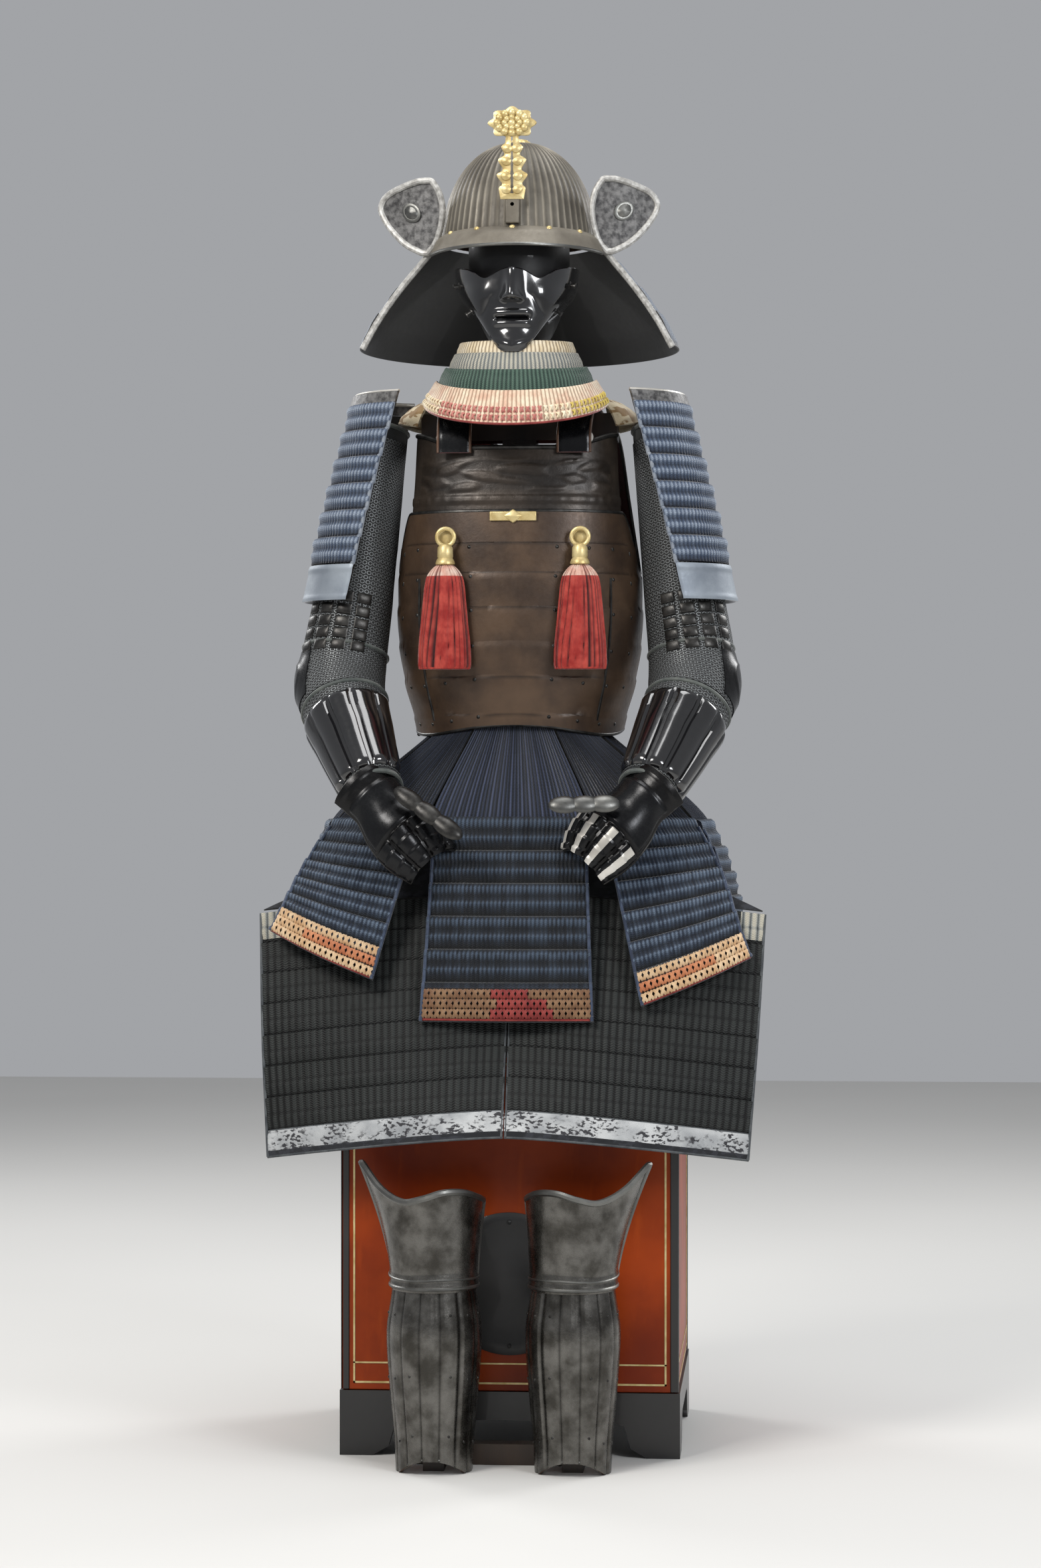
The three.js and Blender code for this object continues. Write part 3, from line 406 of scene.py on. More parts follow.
class Finish:
    def __init__(self, name, **constants):
        self.material = bpy.data.materials.new(name)
        self.material.use_nodes = True
        self.tree = self.material.node_tree
        self.shader = self.tree.nodes["Principled BSDF"]
        self.set(**constants)

    # Any node: its settings come first, then what its sockets get.
    def node(self, kind, settings=None, inputs=None):
        made = self.tree.nodes.new("ShaderNode" + kind)
        for key, value in (settings or {}).items():
            setattr(made, key, value)
        for key, value in (inputs or {}).items():
            self.feed(made.inputs[key], value)
        return made

    def number(self, kind, settings=None, inputs=None, output=0):
        return Number(self, self.node(kind, settings, inputs).outputs[output])

    def feed(self, socket, value):
        value = value.socket if isinstance(value, Number) else value
        if isinstance(value, bpy.types.NodeSocket):
            self.tree.links.new(value, socket)
        else:
            socket.default_value = value

    def set(self, **values):
        for key, value in values.items():
            self.feed(self.shader.inputs[key.replace("_", " ")], value)
        return self.material

    def where(self):
        return self.node("TexCoord").outputs["Object"]

    def stretched(self, scale):
        return self.node("Mapping", None, {"Vector": self.where(), "Scale": scale}).outputs[0]

    # Noise at so many blobs a metre.
    def noise(self, scale, detail=3.0, rough=0.55, place=None):
        inputs = {"Vector": place or self.where(), "Scale": scale, "Detail": detail, "Roughness": rough}
        return self.number("TexNoise", None, inputs)

    # The cloth's own directions, in metres across it and down it.
    def onCloth(self):
        apart = self.node("SeparateXYZ", None, {0: self.node("UVMap", {"uv_map": "cut"}).outputs[0]})
        return Number(self, apart.outputs[0]), Number(self, apart.outputs[1])

    # Painted light by how proud the surface stands: 0 is deep and in painted shade, and 1 is proud and fully
    # lit.
    def shade(self):
        return self.number("Attribute", {"attribute_name": "proud"}, output="Fac")

    def mix(self, share, first, second):
        made = self.node("Mix", {"data_type": "RGBA"})
        colors = [i for i in made.inputs if i.type == "RGBA"]
        self.feed(made.inputs[0], share)
        self.feed(colors[0], first)
        self.feed(colors[1], second)
        return [o for o in made.outputs if o.type == "RGBA"][0]

    def bump(self, height, depth, strength):
        inputs = {"Height": height, "Distance": depth / 1000, "Strength": strength}
        return self.node("Bump", None, inputs).outputs[0]


def lacquer(name, color, wear, rough=0.16, coat=1.0):
    finish = Finish(name, Metallic=0.0, Coat_Weight=coat, Coat_Roughness=0.06, Specular_IOR_Level=0.6)
    cloud = finish.noise(9, 4)
    dust = finish.noise(160, 3)
    tone = finish.mix(cloud.between(0.35, 0.75), paint(*color), paint(*wear))
    return finish.set(Base_Color=tone, Roughness=dust * 0.14 + rough,
                      Normal=finish.bump(finish.noise(26, 2) + dust * 0.12, 0.5, 0.5))


def iron(name, color, other, rough=0.4, metal=0.75, grain=220.0, depth=0.25, blobs=14.0):
    finish = Finish(name, Specular_IOR_Level=0.5)
    cloud, fine = finish.noise(blobs, 5), finish.noise(grain, 4, 0.65)
    tone = finish.mix(cloud.between(0.3, 0.7), paint(*color), paint(*other))
    # painted shade: where the painted light is low, in the hollows, the colour darkens towards near black
    deep = finish.shade().between(0.0, 0.85)
    tone = finish.mix(deep * 0.75 + 0.25, paint(14, 12, 11), tone)
    return finish.set(Base_Color=tone, Metallic=cloud * 0.2 + (metal - 0.1),
                      Roughness=fine * 0.3 + (rough - 0.15),
                      Normal=finish.bump(fine + cloud * 0.6, depth, 0.7))


# Braided silk: strands lie down the cloth, and each has a fine plait.
def silk(name, color, faded, deep, strand=5.6, plait=2.2, sheen=0.35):
    finish = Finish(name, Metallic=0.0, Sheen_Weight=sheen, Sheen_Roughness=0.4, Specular_IOR_Level=0.25)
    across, down = finish.onCloth()
    column = across * (1000 / strand)
    lean = (column.rest() - 0.5).size() * 1.6
    braid = ((down * (1000 / plait) + lean) * math.tau).wave() * 0.5 + 0.5
    patchy = finish.noise(11, 2).between(0.3, 0.72)
    stitch = finish.node("CombineXYZ", None, {"X": column.whole() * 7.3, "Y": (down * 22).whole() * 3.1})
    each = finish.noise(1.0, 0, 0.5, stitch.outputs[0]).between(0.25, 0.75)
    proud = finish.shade()
    # this mix is mostly painted highlight on the proud ridges, with a little random fading by patch and by
    # strand
    worn = proud.between(0.4, 1.0) * 0.8 + patchy * 0.1 + each * 0.2 - 0.1
    tone = finish.mix(worn, paint(*color), paint(*faded))
    # painted shade: the plait's valleys and the deep hollows turn towards the deep colour
    tone = finish.mix(braid * 0.35 + 0.65, paint(*deep), tone)
    tone = finish.mix(proud.between(0.0, 0.55), paint(*deep), tone)
    return finish.set(Base_Color=tone, Roughness=braid * 0.12 + 0.5, Normal=finish.bump(braid, 0.35, 0.9))


# A plain twisted or woven silk for cords, knots and tassels.
def cordSilk(name, color, faded, deep, pitch=1.6):
    finish = Finish(name, Sheen_Weight=0.35, Sheen_Roughness=0.4, Specular_IOR_Level=0.25)
    thread = finish.noise(900 / pitch, 2, 0.5, finish.stretched((1, 1, 0.25)))
    patchy = finish.noise(55, 3).between(0.3, 0.7)
    tone = finish.mix(patchy, paint(*color), paint(*faded))
    # painted shade: hollows and the thread's twist turn towards the deep colour
    tone = finish.mix(finish.shade().between(0.0, 0.8) * (thread * 0.4 + 0.6), paint(*deep), tone)
    return finish.set(Base_Color=tone, Roughness=thread * 0.25 + 0.42, Normal=finish.bump(thread, 0.4, 0.9))


# A woven cloth, so many threads a metre, with flecks of a figure where it has one.
def weave(name, color, other, threads, figure=None, figureColor=None, rough=0.75):
    finish = Finish(name, Sheen_Weight=0.25, Sheen_Roughness=0.5, Specular_IOR_Level=0.2)
    across, down = finish.onCloth()
    warp = (across * (threads * math.pi)).wave()
    weft = (down * (threads * math.pi)).wave()
    cloth = warp * weft * 0.5 + 0.5
    tone = finish.mix(finish.noise(18, 4).between(0.3, 0.7), paint(*color), paint(*other))
    if figure:
        flecks = finish.noise(figure, 2, 0.5, finish.stretched((1, 1, 1.8)))
        shown = flecks.between(0.5, 0.57) * finish.noise(figure * 0.2, 3).between(0.4, 0.52)
        tone = finish.mix(shown, tone, paint(*figureColor))
    tone = finish.mix(cloth * 0.3 + 0.7, paint(12, 12, 12), tone)
    return finish.set(Base_Color=tone, Roughness=cloth * 0.15 + (rough - 0.1),
                      Normal=finish.bump(cloth, 0.25, 0.8))


# Rings of mail: round links in rows, each row set off by half a link.
def mailFinish(ringRow=6.4, ringColumn=7.0):
    finish = Finish("iron mail", Specular_IOR_Level=0.6)
    across, down = finish.onCloth()
    row = down * (1000 / ringRow)
    column = across * (1000 / ringColumn) + (row * 0.5).rest().above(0.5) * 0.5
    far = ((column.rest() - 0.5) ** 2 + (row.rest() - 0.5) ** 2) ** 0.5
    ring = 1 - (far - 0.36).size().between(0.04, 0.16)
    tone = finish.mix(ring, paint(10, 11, 12), paint(112, 115, 116))
    return finish.set(Base_Color=tone, Metallic=ring * 0.5, Roughness=0.72 - ring * 0.3,
                      Normal=finish.bump(ring, 0.9, 1.0))


def woodFinish():
    finish = Finish("dark stained wood", Coat_Weight=0.25, Coat_Roughness=0.3, Specular_IOR_Level=0.4)
    grain = finish.noise(18, 6, 0.6, finish.stretched((1, 1, 0.08)))
    fine = finish.noise(260, 2, 0.5, finish.stretched((1, 1, 0.04)))
    tone = finish.mix(grain.between(0.3, 0.7), paint(34, 26, 20), paint(64, 48, 36))
    return finish.set(Base_Color=tone, Roughness=fine * 0.2 + 0.38,
                      Normal=finish.bump(grain + fine * 0.4, 0.5, 0.5))


def chestLacquer():
    finish = Finish("orange red lacquer", Coat_Weight=0.1, Coat_Roughness=0.2, Specular_IOR_Level=0.15)
    cloud, streak = finish.noise(5, 5), finish.noise(60, 3, 0.6, finish.stretched((1, 1, 0.2)))
    tone = finish.mix(cloud.between(0.3, 0.7), paint(154, 58, 8), paint(112, 35, 5))
    tone = finish.mix(streak.between(0.55, 0.85) * 0.35, tone, paint(184, 78, 16))
    return finish.set(Base_Color=tone, Roughness=streak * 0.18 + 0.34,
                      Normal=finish.bump(finish.noise(22, 2), 0.5, 0.4))


def floorFinish():
    finish = Finish("pale floor", Roughness=0.7, Specular_IOR_Level=0.2)
    return finish.set(Base_Color=finish.mix(finish.noise(0.8, 2), paint(206, 205, 202), paint(214, 213, 210)))


skin = {
    "orange": chestLacquer(), "mail": mailFinish(), "wood": woodFinish(), "floor": floorFinish(),
    # lacquers: colour, worn colour, roughness, coat
    "black": lacquer("gloss black lacquer", (10, 10, 12), (22, 21, 22), 0.1),
    "blackWood": lacquer("black lacquered wood", (11, 10, 10), (20, 18, 17), 0.36, 0.25),
    "mattBlack": lacquer("dull black lacquer", (9, 9, 10), (16, 15, 15), 0.45, 0.1),
    # metals and leather: two colours, roughness, metal, grains a metre, their depth, blobs a metre
    "russet": iron("russet lacquered iron", (86, 67, 51), (58, 45, 36), 0.4, 0.35, 180, 0.3),
    "breast": iron("dark breast iron", (60, 51, 43), (38, 33, 29), 0.38, 0.4, 150, 0.45),
    "helmet": iron("helmet iron", (132, 126, 114), (96, 90, 80), 0.52, 0.35, 260, 0.3),
    "leafField": iron("mottled grey iron", (112, 111, 110), (42, 41, 42), 0.5, 0.25, 420, 0.5, 130),
    "shin": iron("polished dark iron", (112, 110, 106), (66, 64, 60), 0.26, 0.9, 420, 0.2, 34),
    "silver": iron("silvered rim", (216, 213, 206), (176, 172, 164), 0.36, 0.4, 400, 0.1),
    "silverDim": iron("worn silvered edge", (128, 128, 124), (92, 92, 90), 0.4, 0.9, 300, 0.12),
    "paleEdge": iron("pale silvered edge", (188, 187, 183), (140, 138, 134), 0.45, 0.2, 300, 0.2, 160),
    "gilt": iron("gilt copper", (216, 198, 146), (184, 160, 104), 0.4, 0.45, 300, 0.15, 60),
    "darkIron": iron("dark plate iron", (70, 69, 67), (42, 41, 40), 0.36, 0.8, 280, 0.15, 60),
    "guardPlate": iron("shoulder guard plate", (150, 158, 166), (120, 128, 138), 0.5, 0.35, 240, 0.3),
    "blackPlate": iron("black lacquered plate", (26, 27, 29), (14, 14, 16), 0.26, 0.55, 200, 0.12),
    "leather": iron("brown leather", (92, 62, 42), (64, 42, 28), 0.55, 0.1, 240, 0.3),
    # lacing: colour, its colour where painted highlight falls on the ridges and where it fades at random, its
    # colour in painted shade, strand width, plait length, sheen
    "blue": silk("blue lacing", (30, 40, 56), (108, 124, 144), (4, 6, 10)),
    "waistBlue": silk("waist lacing", (36, 44, 62), (78, 86, 112), (5, 7, 12)),
    # the next two are darker copies of the waist lacing and the blue lacing, as painted shade over the side
    # tassets' hips and on the front tasset
    "sideWaist": silk("dark waist lacing", (20, 25, 36), (46, 54, 72), (4, 5, 8)),
    "frontBlue": silk("front lacing", (14, 20, 30), (76, 91, 110), (2, 3, 5)),
    "paleBlue": silk("faded blue lacing", (70, 84, 106), (160, 172, 188), (16, 20, 30)),
    "dark": silk("dark lacing", (8, 10, 10), (44, 47, 46), (1, 1, 1), 9.0, 3.0, 0.04),
    "green": silk("green lacing", (40, 66, 56), (88, 112, 98), (10, 15, 13)),
    "greyCream": silk("grey cream lacing", (132, 136, 134), (196, 190, 172), (30, 34, 36)),
    # cords and knots: colour, where it is faded, its colour in painted shade, thread pitch
    "cream": cordSilk("cream silk", (244, 234, 210), (222, 204, 168), (96, 74, 50)),
    "knotCream": cordSilk("cream knot silk", (224, 198, 162), (200, 162, 120), (90, 60, 36)),
    # the cream knot silk again, darker, as painted shade on the front tasset's knots
    "knotTan": cordSilk("tan knot silk", (146, 114, 84), (118, 84, 60), (60, 40, 26)),
    "knotPink": cordSilk("pink knot silk", (200, 134, 122), (176, 100, 92), (80, 40, 36)),
    "knotOrange": cordSilk("orange silk", (208, 144, 102), (184, 112, 76), (84, 34, 20)),
    "knotRed": cordSilk("red lacing silk", (158, 66, 60), (122, 40, 38), (46, 8, 10)),
    "knotYellow": cordSilk("yellow silk", (206, 186, 96), (184, 158, 78), (74, 56, 22)),
    "paleRow": cordSilk("pale row silk", (238, 222, 196), (214, 176, 152), (120, 92, 70)),
    "borderBack": cordSilk("dark border ground", (40, 24, 18), (26, 16, 13), (8, 5, 4)),
    "tassel": cordSilk("red tassel silk", (146, 30, 24), (184, 70, 58), (40, 4, 6), 1.2),
    "tasselTop": cordSilk("pale tassel silk", (226, 212, 196), (206, 160, 142), (96, 44, 36), 1.2),
    "edging": cordSilk("blue edge cord", (38, 48, 68), (70, 82, 104), (8, 10, 16)),
    "paleEdging": cordSilk("pale edge cord", (110, 120, 136), (150, 156, 164), (30, 34, 42)),
    "cuffBinding": cordSilk("cuff binding", (96, 100, 96), (70, 76, 74), (20, 22, 22)),
    "piping": cordSilk("dark piping", (58, 62, 66), (90, 94, 96), (12, 13, 15)),
    # cloths: two colours, threads a metre, flecks a metre, their colour, roughness
    "brocade": weave("silver brocade", (200, 202, 202), (142, 145, 148), 1100, 170, (46, 46, 50), 0.5),
    "wing": weave("cream brocade", (222, 206, 174), (202, 184, 150), 1000, 60, (150, 120, 80)),
    "yoke": weave("apron cloth", (24, 26, 30), (36, 38, 42), 900, 90, (46, 48, 54)),
    "cloth": weave("dark sleeve cloth", (20, 23, 24), (30, 33, 34), 1000),
    "lining": weave("russet lining", (92, 22, 20), (70, 14, 14), 800),
}
print("finishes mixed")


chest = {
    "halfWidth": 212, "halfDepth": 190, "board": 12, "baseTop": 82, "top": 540, "lidTop": 556, "lidSkirt": 36,
    "lidProud": 8.4, "footWidth": 62, "footArch": 46, "plinthProud": 3, "plinthBoard": 22, "stripWidth": 9,
    "stripProud": 1.6, "lineInset": 14, "lineWidth": 2.4, "lineProud": 0.9, "lowLine": (116, 118),
    "roundelHeight": 218, "studs": 8, "studRing": 78,
}
roundelProfile = [(90, 0), (90, 1.2), (86, 3.0), (80, 3.4), (74, 3.0), (70, 2.2), (24, 3.0), (20, 3.6),
                  (0.5, 3.6)]


def frameLines(halfWidth, low, high, y, width, depth):
    bars = [boxMesh((-halfWidth, y - depth, z), (halfWidth, y, z + width)) for z in (low, high - width)]
    bars += [boxMesh((x, y - depth, low), (x + width, y, high)) for x in (-halfWidth, halfWidth - width)]
    return bars


# One side of the plinth: a board with a shallow arch between its feet, turned about the post.
def plinthSide(half, depth, turn):
    c = chest
    us = np.concatenate([steps(-half, -half + c["footWidth"], 3),
                         steps(-half + c["footWidth"] + 8, half - c["footWidth"] - 8, 12),
                         steps(half - c["footWidth"], half, 3)])
    rise = c["footArch"] * smooth(half - np.abs(us), c["footWidth"] - 6, c["footWidth"] + 12)
    low, high = vec(us, -depth, rise), vec(us, -depth, c["baseTop"])
    thick = [0, c["plinthBoard"], 0]
    n = len(us)
    faces = []
    for i in range(n - 1):
        faces += [(i, i + 1, n + i + 1, n + i), (2 * n + i, 3 * n + i, 3 * n + i + 1, 2 * n + i + 1),
                  (i, 2 * n + i, 2 * n + i + 1, i + 1), (n + i, n + i + 1, 3 * n + i + 1, 3 * n + i)]
    faces += [(0, n, 3 * n, 2 * n), (n - 1, 3 * n - 1, 4 * n - 1, 2 * n - 1)]
    return spun(np.concatenate([low, high, low + thick, high + thick]), turn), faces


def buildChest():
    c = chest
    w, d, top, low = c["halfWidth"], c["halfDepth"], c["top"], c["baseTop"] + gap
    inX, inY = w - c["board"], d - c["board"]
    walls = [boxMesh((-w, -d, low), (w, -inY, top)), boxMesh((-w, inY, low), (w, d, top)),
             boxMesh((-w, -inY, low), (-inX, inY, top)), boxMesh((inX, -inY, low), (w, inY, top)),
             boxMesh((-inX, -inY, low), (inX, inY, low + c["board"]))]
    fitting("chest_panels", joinedMesh(*walls), "orange", "orange_lacquer", ["chest_body"], edge=1.2)
    # black corner strips with a gilt line inside them, on all four sides
    strips, lines = [], []
    skirtFoot = top - c["lidSkirt"]
    for turn in (0, 90, 180, 270):
        half, depth = (w, d) if turn % 180 == 0 else (d, w)
        inset, width = half - c["lineInset"], c["stripWidth"]
        corners = [boxMesh((x0, -depth - c["stripProud"], c["baseTop"] + 1), (x1, -depth, skirtFoot - 1))
                   for x0, x1 in ((-half + 1, -half + width), (half - width, half + 1))]
        gold = frameLines(inset, c["baseTop"] + 9, skirtFoot - 8, -depth, c["lineWidth"], c["lineProud"])
        lineLow, lineHigh = c["lowLine"]
        gold.append(boxMesh((-inset, -depth - c["lineProud"], lineLow), (inset, -depth, lineHigh)))
        strips += [(spun(points, turn), faces) for points, faces in corners]
        lines += [(spun(points, turn), faces) for points, faces in gold]
    fitting("chest_corner_strips", joinedMesh(*strips), "blackWood", "black_lacquered_wood", edge=0.8)
    fitting("chest_gilt_lines", joinedMesh(*lines), "gilt", "gilt")

    outX, outY = w + c["lidProud"], d + c["lidProud"]
    lid = [boxMesh((-outX, -outY, top + gap), (outX, outY, c["lidTop"]))]
    for x0, y0, x1, y1 in ((-outX, -outY, outX, -d - gap), (-outX, d + gap, outX, outY),
                           (-outX, -d - gap, -w - gap, d + gap), (w + gap, -d - gap, outX, d + gap)):
        lid.append(boxMesh((x0, y0, skirtFoot), (x1, y1, top + gap)))
    fitting("chest_lid_panels", joinedMesh(*lid), "blackWood", "black_lacquered_wood", ["chest_lid"],
            edge=2.0, edgeSegments=3)

    x, y = w + c["plinthProud"], d + c["plinthProud"]
    plinth = [plinthSide(*side) for side in ((x, y, 0), (y - c["plinthBoard"], x, 90), (x, y, 180),
                                             (y - c["plinthBoard"], x, 270))]
    plinth.append(boxMesh((-x + 1, -y + 1, c["baseTop"] - 12), (x - 1, y - 1, c["baseTop"] - 0.2)))
    fitting("chest_plinth", joinedMesh(*plinth), "blackWood", "black_lacquered_wood", ["chest_base"])

    front = -d - gap
    discs = [facingFront(turnedMesh(roundelProfile, 72), 0, front, c["roundelHeight"])]
    for angle in steps(0, 360, c["studs"])[:-1]:
        discs.append(facingFront(domeMesh(3.2, 2.0), c["studRing"] * cos(angle), front - 3,
                                 c["studRing"] * sin(angle) + c["roundelHeight"]))
    fitting("chest_round_plate", joinedMesh(*discs), "mattBlack", "black_lacquer", ["chest_roundel"])
    print("chest built")


stand = {"shinX": 86, "shinY": -285, "headWidth": 66, "headDepth": 84, "headBase": 1412.4, "headHalf": 134,
         "headY": -22, "headFlat": 28}
boardEdges = {"stand_post": 3, "stand_lap_board": 3, "stand_shin_bar": 2.5}


def buildStand():
    s = stand
    for node, width in boardEdges.items():
        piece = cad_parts[node]
        piece.data.materials.clear()
        piece.data.materials.append(skin["wood"])
        bevelled(piece, width)
    # the head block: an egg cut flat at its foot
    low = math.asin(s["headFlat"] / s["headWidth"])
    egg = [(s["headWidth"] * math.cos(t), s["headBase"] + s["headHalf"] * (math.sin(t) + math.cos(low)))
           for t in np.linspace(low - math.pi / 2, math.pi / 2 - 0.01, 22)]
    points, faces = turnedMesh([(0.5, s["headBase"])] + egg, 40)
    points = points * [1, s["headDepth"] / s["headWidth"], 1] + [0, s["headY"], 0]
    fitting("stand_head_block", (points, faces), "mattBlack", "stand_wood", ["stand_head"])
    print("stand dressed")


helmet = {
    "y": -15, "halfWidth": 98, "depth": 120, "rim": 1556, "height": 126, "crownEdge": 86, "ribs": 62,
    "perRib": 4, "ribHeight": 1.1, "brimAngle": 70, "brimHalfWidth": 118, "brimDepth": 150, "brimEdge": 1532,
    "brimArch": 5, "brimClear": 0.5, "neckAngle": 104, "neckLames": 4, "neckOverlap": 7, "neckStrands": 92,
    "leafLow": 1537, "leafHigh": 1631, "leafInside": (0, 200, 1590), "bossHeight": 1590, "edgeRadius": 4.2,
}
neckFlare = [(1553, 104, 126), (1530, 122, 146), (1485, 157, 171), (1446, 182, 190), (1412, 199, 203)]
turnback = [(1537, 116, 124), (1548, 107, 144), (1568, 100, 164), (1588, 97, 177), (1602, 98, 180),
            (1616, 102, 170), (1626, 108, 146), (1631, 112, 128)]
crownProfile = [(21, 0), (21.5, 1.2), (18, 2.2), (15, 3.0), (13.5, 5.4), (11.5, 5.6), (10.5, 7.5), (7, 7.8),
                (6, 6.0), (0.5, 5.6)]
bossProfile = [(13, 0), (13, 1.6), (11, 2.4), (9, 2.2), (8, 3.4), (0.4, 5.4)]
finial = {
    "knobZ": 1689, "knobRadius": 26, "lobes": 8, "lobeDepth": 2.5, "wide": 1.1, "tall": 0.76, "face": -145.5,
    "stemLow": 1600, "petalY": -149.6, "leafY": -149.2, "holder": (0, -137, 1586),
}
finialStem = [(15, 1592), (17, 1606), (13, 1612), (20, 1623), (12, 1630), (18, 1642), (10, 1649), (14, 1658),
              (9, 1664)]
finialShares = [(1.0, 0.0), (0.97, 1.4), (0.8, 2.4), (0.5, 3.4), (0.12, 3.8)]
petalRings = [(17, 12, 5.2), (9, 8, 4.2), (0, 1, 5.0)]
petalPairs = [(1604, 13), (1621, 14), (1640, 13), (1656, 10)]


def helmetPoint(angle, halfWidth, depth, z):
    x, y = oval(angle, halfWidth, depth)
    return vec(x, y + helmet["y"], z)


def bowlPoint(u, v):
    share = np.abs(cos(v)) ** 0.93
    return helmetPoint(u, helmet["halfWidth"] * share, helmet["depth"] * share,
                       helmet["rim"] + helmet["height"] * sin(v))


def brimPoint(u, v):
    h = helmet
    clear = plate + gap + h["brimClear"]
    near = helmetPoint(u, h["halfWidth"] + clear, h["depth"] + clear, h["rim"] + 2)
    far = helmetPoint(u, h["brimHalfWidth"], h["brimDepth"], h["brimEdge"])
    point = near + (far - near) * np.asarray(v)[..., None]
    point[..., 2] += h["brimArch"] * sin(180 * np.asarray(v))
    return point


def neckPoint(u, z):
    flare = readCurve(neckFlare, z)
    return helmetPoint(u, flare[..., 0], flare[..., 1], z)


# A turn-back stands out beside the brow, and its rim is swept back.
def leafPoint(u, z):
    near, far = np.moveaxis(readCurve(turnback, z), -1, 0)
    x = lerp(near, far, u)
    sweep = (x - 97) / 83
    return vec(x, -58 + 30 * sweep - 6 * sin(180 * sweep), z)


def buildBowl():
    h = helmet
    inside = (0, h["y"], h["rim"] - 60.0)

    def ribs(u, v):
        place = (u / (360 / h["ribs"])) % 1
        raised = bell(np.minimum(place, 1 - place), 0, 0.13)
        low = 1.2 * smooth(-v, -9, -3)
        return h["ribHeight"] * raised * smooth(h["crownEdge"] - v, 0, 14) + low, 0.35 + 0.65 * raised

    shell("helmet_ribbed_bowl", bowlPoint, steps(0, 360, h["ribs"] * h["perRib"])[:-1],
          steps(0, h["crownEdge"], 28), ["helmet", "leather"], relief=ribs, inside=inside, closed=True,
          slot="helmet_iron", nodes=["helmet_bowl"])
    # rings of gilt petals round the opening at the crown
    crown = turnedMesh(crownProfile, 48, (0, h["y"], h["rim"] + h["height"] - 1.0),
                       groove=lambda a, row: 1 + 0.05 * cos(a * 12) * (row < 4))
    fitting("helmet_crown_ornament", crown, "gilt", "gilt")

    below = (0, h["y"], h["rim"] - 160.0)
    shell("helmet_brim_plate", brimPoint, steps(-h["brimAngle"], h["brimAngle"], 96), steps(0, 1, 14),
          ["helmet", "leather"], relief=lambda u, v: 0.7 * bell(np.abs(v - 0.5), 0, 0.12), inside=below,
          slot="helmet_iron", nodes=["helmet_brim"])
    edge = pathOn(brimPoint, (steps(-h["brimAngle"], h["brimAngle"], 90), 1)) + [0, 0, 1]
    rimOf("helmet_brim_rim", edge, 2.2, "silverDim", "helmet_iron", spacing=0)
    spots = spotsOn(brimPoint, steps(-52, 52, 4), 0.22, plate, below)
    fitting("helmet_brim_studs", manyMesh(domeMesh(4, 2.6, 12), *spots), "gilt", "gilt")


def buildNeckGuard():
    h = helmet
    edges = steps(neckFlare[0][0], neckFlare[-1][0], h["neckLames"])
    first, last = 180 - h["neckAngle"], 180 + h["neckAngle"]
    for index in range(h["neckLames"]):
        head = edges[index] + (h["neckOverlap"] if index else 0)
        foot = edges[index + 1]
        count = h["neckStrands"] + index * 8

        def laced(u, z, head=head, foot=foot, count=count):
            strand = np.abs(sin((u - first) / (last - first) * 180 * count))
            t = (head - z) / (head - foot)
            ridge = 0.7 * bell(t, 0.3, 0.16) + 0.7 * bell(t, 0.75, 0.14)
            inLace = smooth(t, 0.02, 0.06) * smooth(1 - t, 0.05, 0.1)
            return inLace * (0.5 + 0.8 * np.sqrt(strand) + ridge), 0.25 + 0.75 * strand * inLace

        shell(f"neck_guard_lame_{index + 1}", neckPoint, steps(first, last, count * 2),
              steps(head, foot, 14), ["blue", "mattBlack"], relief=laced, inside=axisAt(0, h["y"], 60),
              base=index * (plate + gap + 0.2), slot="helmet_iron", nodes=[f"neck_lame_{index + 1}"])
    # the pale edge that runs down the front of the neck guard, further out as the lames step out
    for word, u in (("left", first), ("right", last)):
        path = pathOn(neckPoint, (u, steps(neckFlare[0][0], neckFlare[-1][0], 40)))
        path[:, 1] -= 1.0
        path[:, 0] += np.sign(path[:, 0]) * (0.5 + 0.18 * np.arange(len(path)))
        rimOf("neck_guard_edge_" + word, path, h["edgeRadius"], "paleEdge", "helmet_iron", spacing=0,
              segments=10)


def buildTurnbacks():
    h = helmet
    low, high = h["leafLow"], h["leafHigh"]

    def field(u, z):
        fromEdge = np.minimum(np.minimum(u, 1 - u) * 40, np.minimum(z - low, high - z) * 0.8)
        return -0.4 * smooth(fromEdge, 3, 5), 0.6 + 0.4 * smooth(fromEdge, 3, 6)

    z = steps(low + 1, high - 1, 30)
    across = steps(0, 1, 8)[1:-1]
    border = pathOn(leafPoint, (0, z), (across, high), (1, z[::-1]), (steps(1, 0, 8)[1:-1], low))
    for word, side in sides.items():
        surface = mirrored(leafPoint, side)
        shell("helmet_leaf_" + word, surface, steps(0, 1, 28), steps(low, high, 34), ["leafField", "helmet"],
              relief=field, inside=h["leafInside"], slot="helmet_iron", nodes=["helmet_turnback_" + word])
        rimOf("helmet_leaf_rim_" + word, border * [side, 1, 1] + [0, -2.4, 0], h["edgeRadius"], "paleEdge",
              "helmet_iron", closed=True, spacing=0, segments=10)
        spot = spotsOn(surface, 0.5, h["bossHeight"], plate, h["leafInside"])
        fitting("helmet_leaf_boss_" + word, manyMesh(turnedMesh(bossProfile, 36), *spot), "silverDim",
                "helmet_iron")


